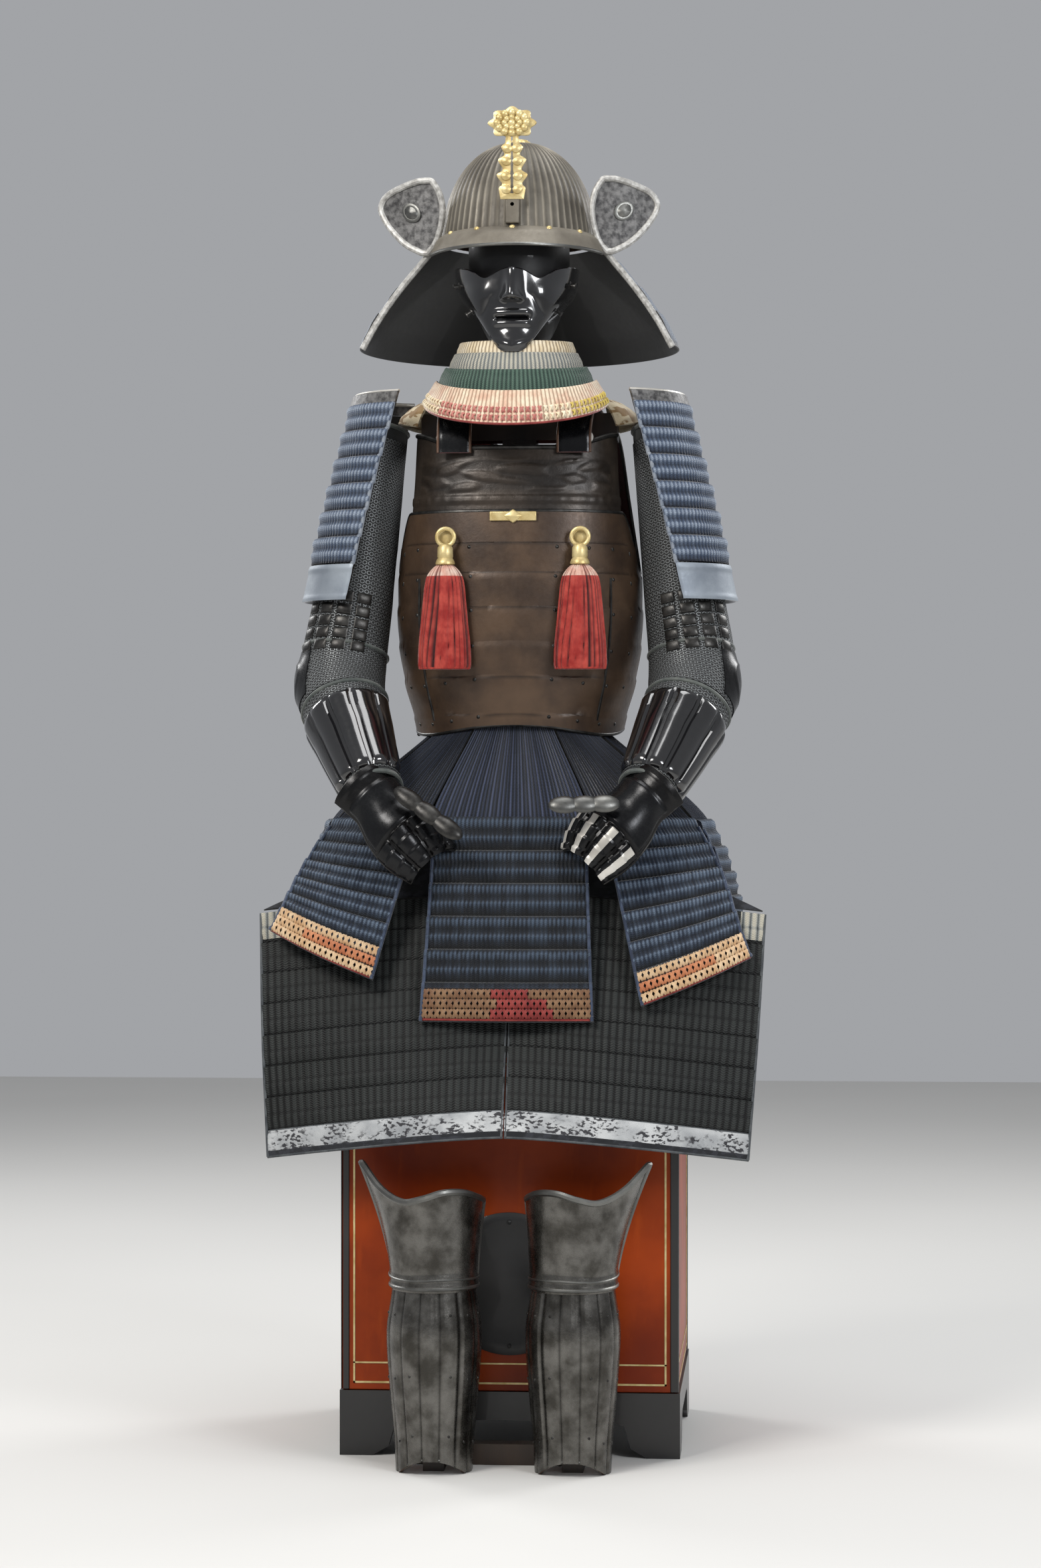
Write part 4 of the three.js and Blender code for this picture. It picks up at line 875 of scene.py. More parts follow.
def buildFinial():
    f = finial
    angle = steps(-72, 252, 96)
    radius = f["knobRadius"] + f["lobeDepth"] * cos(f["lobes"] * (angle - 90))
    knob = np.stack([radius * f["wide"] * cos(angle), f["knobZ"] + radius * f["tall"] * sin(angle)], 1)
    half = smoothed(finialStem, 48)
    outline = np.concatenate([half, knob, half[::-1] * [-1, 1]])
    centre = np.stack([np.zeros(len(outline)), np.clip(outline[:, 1], f["stemLow"], f["knobZ"])], 1)
    rings = []
    for share, lift in finialShares:
        ring = centre + (outline - centre) * share
        rings.append(vec(ring[:, 0], f["face"] - lift, ring[:, 1]))
    faces = [tuple(face) for face in gridFaces(len(rings), len(outline), True)]
    fitting("helmet_finial", (np.concatenate(rings), faces), "gilt", "gilt", ["helmet_crest"])
    petals = []
    for ring, count, size in petalRings:
        for a in steps(0, 360, count)[:-1]:
            petals.append(facingFront(domeMesh(size, 3.4, 10), ring * f["wide"] * cos(a), f["petalY"],
                                      f["knobZ"] + ring * f["tall"] * sin(a)))
    for z, width in petalPairs:
        for side in (-1, 1):
            petals.append(manyMesh(domeMesh(5.4, 3.2, 10), (side * width * 0.55, f["leafY"], z),
                                   (1.1, 0, 0.5 * side), (-0.5 * side, 0, 1), (0, -1, 0)))
    fitting("helmet_finial_petals", joinedMesh(*petals), "gilt", "gilt")
    holder = turnedMesh([(6, 0), (6.5, 3), (4, 6), (4, 9), (0.4, 9)], 20)
    socket = joinedMesh(facingFront(holder, *f["holder"]), boxMesh((-9, -146, 1562), (9, -134, 1596)))
    fitting("helmet_finial_socket", socket, "helmet", "helmet_iron", edge=2)
    print("helmet built")


face = {"y": -62, "sweep": 92, "middle": 34, "rim": 1.9}
maskRings = [(0, 79, 88, 1), (0.3, 77, 88, 1), (0.55, 71, 88, 1.04), (0.78, 58, 88, 1.06), (1, 40, 90, 1.1)]
pegProfile = [(4.6, 0), (4.6, 1.0), (2.2, 1.6), (2.2, 6.5), (3.6, 7.2), (3.4, 8.8), (0.4, 9.4)]
throatSweep = 84
throat = [
    {"top": 1412, "topLift": 6, "foot": 1390, "footLift": 8, "halfWidth": 70, "depth": 82, "out": 6,
     "skin": "cream", "edge": "knotRed", "slot": "pale_silk"},
    {"top": 1396, "topLift": 8, "foot": 1368, "footLift": 14, "halfWidth": 77, "depth": 89, "out": 9,
     "skin": "greyCream", "edge": "cream", "slot": "green_silk"},
    {"top": 1373, "topLift": 14, "foot": 1340, "footLift": 26, "halfWidth": 89, "depth": 101, "out": 10,
     "skin": "green", "edge": "cream", "slot": "green_silk"},
    {"top": 1345, "topLift": 26, "foot": 1301, "footLift": 40, "halfWidth": 102, "depth": 114, "out": 17,
     "skin": "paleRow", "edge": "knotRed", "slot": "pale_silk"},
]


def maskPoint(u, v):
    ring = readCurve(maskRings, v)
    size = np.abs(u)
    top = 1503 - 12 * bell(size, 26, 12) + 7 * smooth(size, 30, 75)
    foot = 1399 + 46 * smooth(size, 8, 80)
    x, y = oval(u, ring[..., 0], ring[..., 1], ring[..., 2])
    z = lerp(top, foot, v)
    bridge = bell(x, 0, 9) * smooth(z, 1461, 1467) * lerp(1, 0.45, smooth(z, 1468, 1504))
    nostrils = 4 * bell(np.abs(x), 9.5, 4.5) * bell(z, 1466, 5)
    cheek = 5 * bell(np.abs(x), 44, 18) * bell(z, 1473, 16)
    fold = 2.2 * bell(np.abs(x) - (1478 - z) * 0.45, 22, 4) * smooth(z, 1440, 1450) * smooth(1476 - z, 0, 8)
    lips = 3.2 * smooth(26 - np.abs(x), 0, 8) * (bell(z, 1447.5, 3.2) + bell(z, 1434, 3.4))
    mouth = -7 * smooth(21 - np.abs(x), -3, 3) * bell(z, 1441, 2.8)
    chin = 5 * bell(x, 0, 20) * bell(z, 1410, 12)
    jaw = 2.5 * bell(z - size * 0.35, 1404, 4)
    return vec(x, y + face["y"] - 20 * bridge - nostrils - cheek + fold * 0.6 - lips - mouth - chin - jaw, z)


def buildMask():
    sweep, middle = face["sweep"], face["middle"]
    us = np.concatenate([steps(-sweep, -middle, 26), steps(-middle, middle, 84)[1:-1],
                         steps(middle, sweep, 26)])
    inside = axisAt(0, face["y"] + 40)
    shell("mask_face", maskPoint, us, steps(0, 1, 76), ["black", "lining"], inside=inside,
          slot="black_lacquer", nodes=["mask"], crease=60)
    edge = pathOn(maskPoint, (steps(-sweep, sweep, 120), 0), (sweep, steps(0, 1, 19)),
                  (steps(sweep, -sweep, 120), 1), (-sweep, steps(1, 0, 19)))
    rimOf("mask_rim", edge, face["rim"], "black", "black_lacquer", closed=True, spacing=1.5)
    # cord pegs on the cheeks and the jaw
    peg = turnedMesh(pegProfile, 16)
    pegs = [manyMesh(peg, *spotsOn(maskPoint, u * side, v, plate, inside))
            for side in (1, -1) for u, v in ((64, 0.3), (58, 0.72))]
    fitting("mask_pegs", joinedMesh(*pegs), "darkIron", "black_lacquer")
    print("mask built")


def buildThroat():
    inside = axisAt(0, face["y"], 20)
    for index, row in enumerate(throat, 1):
        def surface(u, v, row=row):
            curl = 1 - cos(u)
            z = lerp(row["top"] + row["topLift"] * curl, row["foot"] + row["footLift"] * curl, v)
            x, y = oval(u, row["halfWidth"] + row["out"] * v, row["depth"] + row["out"] * v)
            return vec(x, y + face["y"], z)

        strands = int(math.radians(2 * throatSweep) * row["halfWidth"] / 5)

        def laced(u, v, strands=strands):
            strand = np.abs(sin((u + throatSweep) / (2 * throatSweep) * 180 * strands))
            inLace = smooth(v, 0.02, 0.08) * smooth(1 - v, 0.02, 0.1)
            return inLace * (0.4 + 0.9 * np.sqrt(strand) + 0.8 * bell(v, 0.5, 0.2)), 0.2 + 0.8 * strand

        shell(f"throat_row_{index}", surface, steps(-throatSweep, throatSweep, strands * 2), steps(0, 1, 12),
              [row["skin"], "mattBlack"], thick=2.4, relief=laced, inside=inside, slot=row["slot"],
              nodes=[f"throat_lame_{index}"])
        foot = pathOn(surface, (steps(-throatSweep, throatSweep, 80), 1)) + [0, 0, 0.6]
        foot[:, 1] -= 2.2
        rimOf(f"throat_edge_{index}", foot, 1.5, row["edge"], "pale_silk", spacing=0, segments=6)
    # the lowest row carries two rows of knots, pink in the middle
    color = lambda t: "knotPink" if 0.18 < t < 0.62 else "knotYellow" if t > 0.74 else "cream"
    knots("throat_knots", surface, inside, [(0.6, color), (0.84, color)], steps(-80, 80, 42), 6.0, 3.2)
    print("throat guard built")


# One short flat cord of a crossed knot, from end to end and how high it stands, for a knot of size 1.
knotPath = np.array([[-0.62, 0, 0], [-0.45, 0, 0.24], [-0.15, 0, 0.34], [0.15, 0, 0.34], [0.45, 0, 0.24],
                     [0.62, 0, 0]])


# Rows of crossed knots: each row is its v, and a function from its place along the row to its colour.
def knots(name, surface, inside, rows, us, size, lift):
    points, faces = tubeMesh(knotPath * size, size * 0.24, 5)
    base = joinedMesh(*((spun(points * [1, 1, 0.9] + [0, 0, low], turn), faces)
                        for turn, low in ((62, 0.0), (-62, 0.35))))
    chosen = [color((u - us.min()) / (us.max() - us.min())) for _, color in rows for u in us]
    colors = sorted(set(chosen))
    made = [manyMesh(base, *spotsOn(surface, us, v, lift, inside)) for v, _ in rows]
    skinOf = [colors.index(color) for color in chosen for _ in base[1]]
    makePiece(name, *joinedMesh(*made), colors, skinOf, slot="pale_silk", crease=60)


cuirass = {
    "seam": 0.35, "frontTop": 1197, "armhole": 1124, "waist": 918, "backTop": 1322, "breastLow": 1189,
    "breastMiddle": 1279, "breastSide": 1298, "breastSweep": 63, "lineStep": 1.3,
    "plateLines": [937, 985, 1028, 1074, 1118, 1156], "rivetLift": 2.8, "hingeAngle": 48, "barHeight": 1190,
    "toggle": {"angle": 33.0, "z": 1292.0, "lift": 18.0},
}
cuirassRings = [(898, 134, 122, 112, 1.1), (925, 134, 123, 113, 1.1), (980, 148, 132, 122, 1.1),
                (1045, 157, 136, 126, 1.12), (1120, 156, 134, 126, 1.16), (1195, 149, 127, 123, 1.3),
                (1240, 145, 120, 121, 1.35), (1300, 142, 112, 117, 1.35), (1340, 138, 104, 112, 1.3)]
toggleProfile = [(5, 0), (5.5, 3), (3, 5), (3, 8), (7, 9), (8, 12), (6.5, 14.5), (0.4, 15.5)]
frontRivets = [-66, -50, -34, -17, 17, 34, 50, 66]
backRivets = [118, 136, 154, 172, 188, 206, 224, 242]


def cuirassPoint(angle, z):
    ring = readCurve(cuirassRings, z)
    depth = np.where(cos(angle) > 0, ring[..., 1], ring[..., 2])
    x, y = oval(angle, ring[..., 0], depth, ring[..., 3])
    return vec(x, y, z)


def waistEdge(angle):
    return cuirass["waist"] + 6 * cos(angle * 3.2 * np.sign(cos(angle)))


def frontPoint(u, v):
    c = cuirass
    top = lerp(c["frontTop"], c["armhole"], smooth(np.abs(u), 62, 86))
    return cuirassPoint(u, lerp(waistEdge(u), top, v))


def backPoint(u, v):
    c = cuirass
    fromSeam = 90 - np.abs(u - 180)
    neck = 26 * smooth(np.abs(u - 180), 4, 26) - 26
    top = lerp(c["armhole"], c["backTop"], smooth(fromSeam, 4, 38)) + neck
    return cuirassPoint(u, lerp(waistEdge(u), top, v))


def breastPoint(u, v):
    c = cuirass
    top = lerp(c["breastMiddle"], c["breastSide"], smooth(np.abs(u), 14, c["breastSweep"]))
    return cuirassPoint(u, lerp(c["breastLow"], top, v))


# Each plate laps over the one above it by a small step, with a dark line between them.
def plateSteps(surface):
    levels = np.array(cuirass["plateLines"] + [1400.0])
    lows = np.concatenate([[900.0], levels])

    def relief(u, v):
        z = surface(u, v)[..., 2]
        below = np.searchsorted(levels, z)
        t = (z - lows[below]) / (levels[below] - lows[below])
        nearest = np.min(np.abs(z[..., None] - levels), axis=-1)
        return cuirass["lineStep"] * smooth(t, 0.0, 1.0), 1 - 0.75 * bell(nearest, 0, 1.6)
    return relief


# A scrolled field over a beaded band, embossed across the breast.
def breastRelief(u, v):
    z = breastPoint(u, v)[..., 2]
    band = smooth(z, 1206, 1210) * smooth(1219 - z, 0, 3)
    embossed = smooth(z, 1221, 1226) * smooth(1266 - z, 0, 4) * smooth(56 - np.abs(u), 0, 4)
    beads = band * sin(u * 26) ** 2
    scroll = smooth(sin(u * 11 + 60 * sin(z * 9)) * sin(z * 13 + 50 * sin(u * 7)), -0.2, 0.5)
    return 1.2 * band + 0.5 * beads + 1.3 * embossed * scroll, 1 - 0.3 * beads - 0.6 * embossed * (1 - scroll)


def buildCuirass():
    c = cuirass
    seam, sweep = c["seam"], c["breastSweep"]
    shares = (np.array(c["plateLines"]) - c["waist"]) / (c["frontTop"] - c["waist"])
    atLines = [share + np.array([-0.004, 0.0, 0.004]) for share in shares]
    vs = np.unique(np.concatenate([steps(0, 1, 40)] + atLines))
    shell("cuirass_front_plates", frontPoint, steps(-90 + seam, 90 - seam, 90), vs, ["russet", "lining"],
          relief=plateSteps(frontPoint), slot="russet_lacquer", nodes=["cuirass_front"])
    shell("cuirass_back_plates", backPoint, steps(90 + seam, 270 - seam, 70), steps(0, 1, 62),
          ["russet", "lining"], relief=plateSteps(backPoint), slot="russet_lacquer", nodes=["cuirass_back"])
    shell("cuirass_breast_plate", breastPoint, steps(-sweep, sweep, 100), steps(0, 1, 44),
          ["breast", "lining"], base=-plate - 3 * gap, relief=breastRelief, slot="russet_lacquer",
          nodes=["breast_plate"])
    top = pathOn(breastPoint, (steps(-sweep, sweep, 90), 1))
    rimOf("cuirass_breast_rim", top * [0.99, 0.99, 1] + [0, 0, 0.6], 3.2, "darkIron", "russet_lacquer")
    for name, surface, turn in (("front", frontPoint, 0), ("back", backPoint, 180)):
        for word, v, radius in (("waist", 0, 2.6), ("top", 1, 2.4)):
            path = pathOn(surface, (steps(-89, 89, 140) + turn, v)) * [1.004, 1.004, 1]
            rimOf(f"cuirass_{name}_{word}_rim", path, radius, "darkIron", "russet_lacquer")
    # rivets along the plates' lines
    spots = []
    for z in c["plateLines"]:
        v = (z - 6 - c["waist"]) / (c["frontTop"] - c["waist"])
        spots += [spotsOn(frontPoint, frontRivets, v, c["rivetLift"]),
                  spotsOn(backPoint, backRivets, v * 0.74, c["rivetLift"])]
    rivets = manyMesh(domeMesh(2.6, 1.6, 10), *joinedSpots(spots))
    fitting("cuirass_rivets", rivets, "darkIron", "russet_lacquer")
    for word, side in sides.items():
        hinge = pathOn(cuirassPoint, (c["hingeAngle"] * side, steps(930, 1112, 50))) * [1.016, 1.02, 1]
        rimOf("cuirass_hinge_" + word, hinge, 2.0, "darkIron", "russet_lacquer")
        # toggles on the breast for the shoulder straps
        t = c["toggle"]
        spot = spotsOn(cuirassPoint, t["angle"] * side, t["z"], t["lift"])
        toggle = manyMesh(turnedMesh(toggleProfile, 20), *spot)
        fitting("breast_toggle_" + word, toggle, "silver", "black_lacquer")
    # a small gilt plate across the breast
    y = cuirassPoint(np.array([0.0]), np.array([c["barHeight"]]))[0, 1] - 4.2
    points, faces = boxMesh((-30, -1.2, -6), (30, 1.2, 6))
    diamond = turnedMesh([(9, -1.8), (9, 1.4), (5, 2.6), (0.4, 3.4)], 4)
    diamond = facingFront(diamond, 0, y, c["barHeight"], 1.5)
    bar = joinedMesh((points + [0, y, c["barHeight"]], faces), diamond)
    fitting("breast_gilt_bar", bar, "gilt", "gilt", edge=1.2)
    print("cuirass built")


strapPath = [(0, 77, -115, 1272), (0.16, 77, -110, 1300), (0.36, 79, -70, 1327), (0.55, 82, 0, 1335),
             (0.8, 85, 72, 1333), (1, 87, 108, 1325)]
strapHalf = 22
wing = {"halfLength": 56, "cut": 52, "reach": 46, "x": 111, "z": 1343, "y": -10, "drop": 26}


def strapPoint(u, v):
    return readCurve(strapPath, v) + vec(u, 0, 0)


def wingPoint(u, v):
    reach = wing["reach"] * np.sqrt(np.maximum(1 - (u / wing["halfLength"]) ** 2, 0))
    return vec(wing["x"] + reach * v, u + wing["y"], wing["z"] - 0.0024 * u * u - wing["drop"] * v * v)


def paddedStrap(u, v):
    edge = np.minimum(strapHalf - np.abs(u), 10)
    return -2.2 * (1 - smooth(edge, 0, 6)), 0.4 + 0.6 * smooth(edge, 1, 5)


# A quilted pad, thin at its edges.
def puff(u, v):
    reach = wing["reach"]
    edge = np.minimum(np.minimum(wing["cut"] - np.abs(u), reach * v + 4), reach * (1 - v))
    quilt = np.abs(sin((u * 1.2 + v * reach) * 9)) * np.abs(sin((u * 1.2 - v * reach) * 9))
    height = 1.6 * smooth(edge, 0, 7) * (0.5 + 0.5 * quilt) - 1.5 * (1 - smooth(edge, 0, 5))
    return height, 0.3 + 0.7 * smooth(edge, 0.5, 4)


def buildShoulders():
    along = steps(0, 1, 60)
    for word, side in sides.items():
        strap, flap = mirrored(strapPoint, side), mirrored(wingPoint, side)
        shell("shoulder_strap_leather_" + word, strap, steps(-strapHalf, strapHalf, 22), along,
              ["blackPlate", "lining"], thick=5, relief=paddedStrap, slot="russet_lacquer",
              inside=lambda points, v: points * [1, 0, 0] + [0, 0, 1200], nodes=["shoulder_strap_" + word])
        for part, u in (("outer", 20.5), ("inner", -20.5)):
            path = pathOn(strap, (u, along)) + [0, 0, 0.4]
            path[:, 1] += np.where(path[:, 2] < 1316, -2.5, 0) * (path[:, 1] < 0)
            path[:, 2] += 3.2 * smooth(path[:, 1], -112, -70)
            rimOf(f"strap_piping_{part}_{word}", path, 2.0, "leather", "russet_lacquer")
        piece = shell("shoulder_flap_" + word, flap, steps(-wing["cut"], wing["cut"], 44), steps(0, 1, 26),
                      ["wing"], thick=5, relief=puff, inside=(side * 110, 0, 1200), slot="pale_silk",
                      nodes=["shoulder_wing_" + word])
        edge = pathOn(flap, (steps(-wing["cut"], wing["cut"], 70), 1)) + [0, 0, 2.5]
        rimOf("shoulder_flap_piping_" + word, edge, 2.6, "cream", "pale_silk")
    print("shoulders built")


tassel = {"x": 86, "ringY": -135, "y": -143, "ringZ": 1163, "ringRadius": 11, "plateY": -127,
          "paleAbove": 1113, "strands": 22, "flat": 0.52}
capProfile = [(9, 1127), (12.4, 1128), (12.4, 1130), (11, 1133), (9.2, 1136), (9.8, 1138), (9.5, 1149),
              (7, 1153), (4.5, 1154)]
tasselProfile = [(10, 996), (29, 994), (32.5, 997), (33, 1008), (32, 1030), (29.5, 1055), (27, 1080),
                 (25, 1100), (22, 1113), (16, 1122), (10, 1127), (6, 1127.6)]


def buildTassels():
    t = tassel
    rows = smoothed(tasselProfile, 44)
    turn = steps(0, 360, 36)[:-1]
    for word, side in sides.items():
        x = side * t["x"]
        ring = vec(x + t["ringRadius"] * cos(turn), t["ringY"], t["ringZ"] + t["ringRadius"] * sin(turn))
        cap = turnedMesh(capProfile, 32, (x, t["y"] + 3, 0),
                         groove=lambda a, row: 1 + 0.04 * np.abs(sin(a * 6)) * (row > 2))
        back = facingFront(turnedMesh([(9, 0), (9, 2), (4, 3.4), (0.4, 3.6)], 24), x, t["plateY"], t["ringZ"])
        fitting("tassel_ring_and_cap_" + word, joinedMesh(tubeMesh(ring, 2.8, 10, closed=True), cap, back),
                "gilt", "gilt")

        def groove(a, row, side=side):
            wander = 5 * sin(row * 4.1 + a * 2) + 3 * sin(row * 9.7)
            uneven = 0.05 * sin(a * 3 + 40 * side) + 0.04 * sin(a * 7)
            return (1 + uneven) * (1 - 0.16 * (1 - np.sqrt(np.abs(sin((a + wander) * t["strands"] / 2)))))

        points, faces = turnedMesh(rows, t["strands"] * 5, (x, t["y"], 0), t["flat"], groove)
        out = np.hypot(points[:, 0] - x, (points[:, 1] - t["y"]) / t["flat"])
        wide = np.interp(points[:, 2], rows[:, 1], rows[:, 0])
        # painted shade: strands further inside the tassel are darker
        proud = np.clip(1 - (1 - out / np.maximum(wide, 1)) / 0.14, 0, 1)
        skinOf = [int(np.mean(points[list(corners), 2]) > t["paleAbove"]) for corners in faces]
        makePiece("tassel_strands_" + word, points, faces, ["tassel", "tasselTop"], skinOf, proud=proud,
                  crease=80, slot="red_silk", nodes=["tassel_" + word])
    print("tassels built")


guard = {"radius": 105, "sweep": 68, "y": -15, "top": 1353, "topPlate": 15, "lames": 6, "lame": 34.5,
         "bottomPlate": 46, "strands": 44, "rowsPerLame": 11}
guardReach = [(1353, 213), (1223, 248), (1085, 282)]


# Rows down a laced wall, with the height of each: thick at a lame's head, thin at its foot.
def lameRows(edges, perLame, head=5.8, foot=2.6, step=0.06):
    vs, heights, places = [], [], []
    for top, bottom in zip(edges[:-1], edges[1:]):
        for t in steps(0, 1, perLame - 1):
            vs.append(lerp(top, bottom - (bottom - top) * step * (bottom != edges[-1]), t))
            heights.append(lerp(head, foot, t))
            places.append(t)
    return np.array(vs), np.array(heights), np.array(places)


# A laced wall: strands lie down it, over two ridges on each lame. Where v is under loose they hang free,
# and from border on they lie flat.
def lacedShell(name, surface, us, rows, strands, skins, span, ridge, loose=-np.inf, border=np.inf, depth=1.1,
               **rest):
    vs, heights, places = rows

    def relief(u, v):
        share = (u - span[0]) / (span[1] - span[0])
        strand = np.abs(sin(share * 180 * strands))
        root = np.sqrt(strand)
        t, height = (np.broadcast_to(a[:, None], u.shape) for a in (places, heights))
        roll = bell(t, 0.17, 0.13) + 0.92 * bell(t, 0.64, 0.13)
        lift = depth * (root - 0.6) + ridge * roll
        # painted shade in the grooves between strands and at each lame's foot, and painted highlight on the
        # ridges; loose strands also differ in tone at random
        shade = np.clip((0.5 + 0.5 * root) * (0.28 + 0.8 * roll) - 0.3 * smooth(t, 0.9, 1.0), 0, 1)
        each = 0.5 + 0.5 * sin(np.floor(share * strands) * 137.0)
        isLoose, onBorder = v < loose, v >= border
        looseShadeAndTone = np.clip(root * (0.55 + 0.5 * each) - 0.05, 0, 1)
        lift = np.select([isLoose, onBorder], [depth * 1.5 * (root - 0.7), 0.3 * root], lift)
        shade = np.select([isLoose, onBorder], [looseShadeAndTone, 0.55], shade)
        return height - plate + lift, shade

    return shell(name, surface, us, vs, skins, relief=relief, **rest)


# A cord down a laced edge, which steps in with each lame.
def edgeCord(name, surface, u, v, inLame, lift, radius, color, slot, inside=axisInside):
    path, _, _, normal = spotsOn(surface, u, v, lift, inside)
    rimOf(name, path - normal * (inLame * 3.0)[:, None], radius, color, slot, spacing=0)


def guardPoint(u, z):
    reach = readCurve(guardReach, z)[..., 0]
    return vec(reach - guard["radius"] * (1 - cos(u)), guard["y"] + guard["radius"] * sin(u), z)


def buildShoulderGuards():
    g = guard
    sweep, top = g["sweep"], g["top"]
    laced = steps(top - g["topPlate"], top - g["topPlate"] - g["lames"] * g["lame"], g["lames"])
    foot = laced[-1] - g["bottomPlate"]
    us = steps(-sweep, sweep, g["strands"] * 2)
    # the rows of one lame more, so that the last of the lames steps in at its foot as the others do
    rows = tuple(a[:-g["rowsPerLame"]] for a in lameRows(list(laced) + [laced[-1] - 3.0], g["rowsPerLame"]))

    def footPlate(u, v):
        t = (laced[-1] - v) / g["bottomPlate"]
        fromEdge = np.minimum(sweep - np.abs(u), 8) * 1.8
        rise = 1.0 * bell(t, 0.12, 0.07) + 0.8 * bell(t, 0.92, 0.06)
        return 2.4 - 1.6 * t + rise - 1.2 * (1 - smooth(fromEdge, 0, 3)), np.full(u.shape, 0.95)

    for word, side in sides.items():
        surface = mirrored(guardPoint, side)
        common = {"inside": axisAt(side * 100, g["y"]), "slot": "steel_blue_lacing"}
        shell("shoulder_guard_top_" + word, surface, us, lerp(top, laced[0] + 0.3, steps(0, 1, 8)),
              ["leafField"], relief=lambda u, v: 3.4 * smooth(top - v + 0.4, 0, 2.5), **common)
        lacedShell("shoulder_guard_lames_" + word, surface, us, rows, g["strands"], ["paleBlue", "mattBlack"],
                   (-sweep, sweep), ridge=2.8, nodes=["shoulder_guard_" + word], **common)
        shell("shoulder_guard_foot_" + word, surface, us, lerp(laced[-1] - 0.3, foot, steps(0, 1, 20)),
              ["guardPlate", "black"], relief=footPlate, **common)
        for part, u in (("front", -sweep), ("back", sweep)):
            z = steps(laced[0], laced[-1], 120)
            edgeCord(f"shoulder_guard_edge_{part}_{word}", surface, u * 0.985, z,
                     (laced[0] - z) / g["lame"] % 1, 4.5, 2.6, "paleEdging", **common)
        rim = pathOn(surface, (steps(-sweep, sweep, 60), top)) * [1.005, 1, 1]
        rimOf("shoulder_guard_rim_" + word, rim, 2.6, "silver", "helmet_iron")
    print("shoulder guards built")


sleevePath = [(0, 181, -8, 1312, 32, 56), (0.2, 200, -18, 1200, 42, 57), (0.42, 216, -34, 1083, 49, 55),
              (0.57, 226, -52, 1005, 53, 54), (0.67, 225, -74, 958, 54, 54), (0.82, 202, -122, 901, 45, 45),
              (1, 173, -180, 839, 34, 34)]
# mail over the outside of the arm: its stretch along the arm, and its sweep
mailPatches = {"upper": ((0.03, 0.69), (92, 352)), "fore": ((0.70, 0.985), (96, 372))}
# small plates on the mail: their places along and round the arm, lift, widening and finish
armPlates = {
    "small": (steps(0.425, 0.555, 4), [214, 240, 266, 292], 3.2, [1, 1, 1], "darkIron"),
    "shoulder": (steps(0.13, 0.28, 3), [190, 226, 262], 3.0, [1.2, 1.1, 1], "blackPlate"),
}
armPlate = {"width": 15.12, "length": 10.8, "height": 10}
armPlateProfile = [(0.62, 0), (0.62, 0.08), (0.5, 0.2), (0.3, 0.28), (0.02, 0.3)]
elbowGuard = {"angle": 168.75, "halfAngle": 56.25, "v": 0.62, "halfV": 0.06}
forearm = {"from": 157.5, "to": 360, "start": 0.73, "end": 0.98, "splints": 6}
bindings = [(0.0, 3.0), (0.545, 2.6), (0.70, 2.8), (1.0, 3.0)]


def sleevePoint(u, v):
    here = readCurve(sleevePath, v)
    ahead, behind = (readCurve(sleevePath, np.clip(v + step, 0, 1)) for step in (0.01, -0.01))
    along = (ahead - behind)[..., :3]
    along = along / np.linalg.norm(along, axis=-1, keepdims=True)
    across = np.cross(np.broadcast_to([0.0, 1.0, 0.0], along.shape), along)
    across = across / np.linalg.norm(across, axis=-1, keepdims=True)
    back = np.cross(along, across)
    middle, width, depth = here[..., :3], here[..., 3], here[..., 4]
    return middle + across * (width * cos(u))[..., None] + back * (depth * sin(u))[..., None]


# Soft folds at the elbow and the upper arm, all of them inward.
def sleeveFolds(u, v):
    soft = 1.6 * sin(u * 2 + v * 900) * bell(v, 0.58, 0.1) + 0.9 * sin(u * 3 - v * 1400) * bell(v, 0.3, 0.2)
    return np.minimum(soft, 0)


# The elbow plate, domed with a raised rosette.
def elbowRelief(u, v):
    e = elbowGuard
    far = np.sqrt(((u - e["angle"]) / e["halfAngle"]) ** 2 + ((v - e["v"]) / e["halfV"]) ** 2)
    return 4.2 * smooth(1.15 - far, 0, 0.9) + 0.9 * bell(far, 0.62, 0.07) + 1.2 * bell(far, 0.0, 0.16)


# Splints side by side, each with a raised round middle.
def forearmRelief(u, v):
    f = forearm
    across = np.abs(((u - f["from"]) / (f["to"] - f["from"]) * f["splints"]) % 1 - 0.5) * 2
    body = smooth(0.86 - across, 0, 0.1)
    ends = smooth(v - f["start"], 0, 0.012) * smooth(f["end"] - v, 0, 0.012)
    return body * ends * (1.0 + 4.0 * np.sqrt(np.maximum(1 - across**2, 0))), 0.3 + 0.7 * body


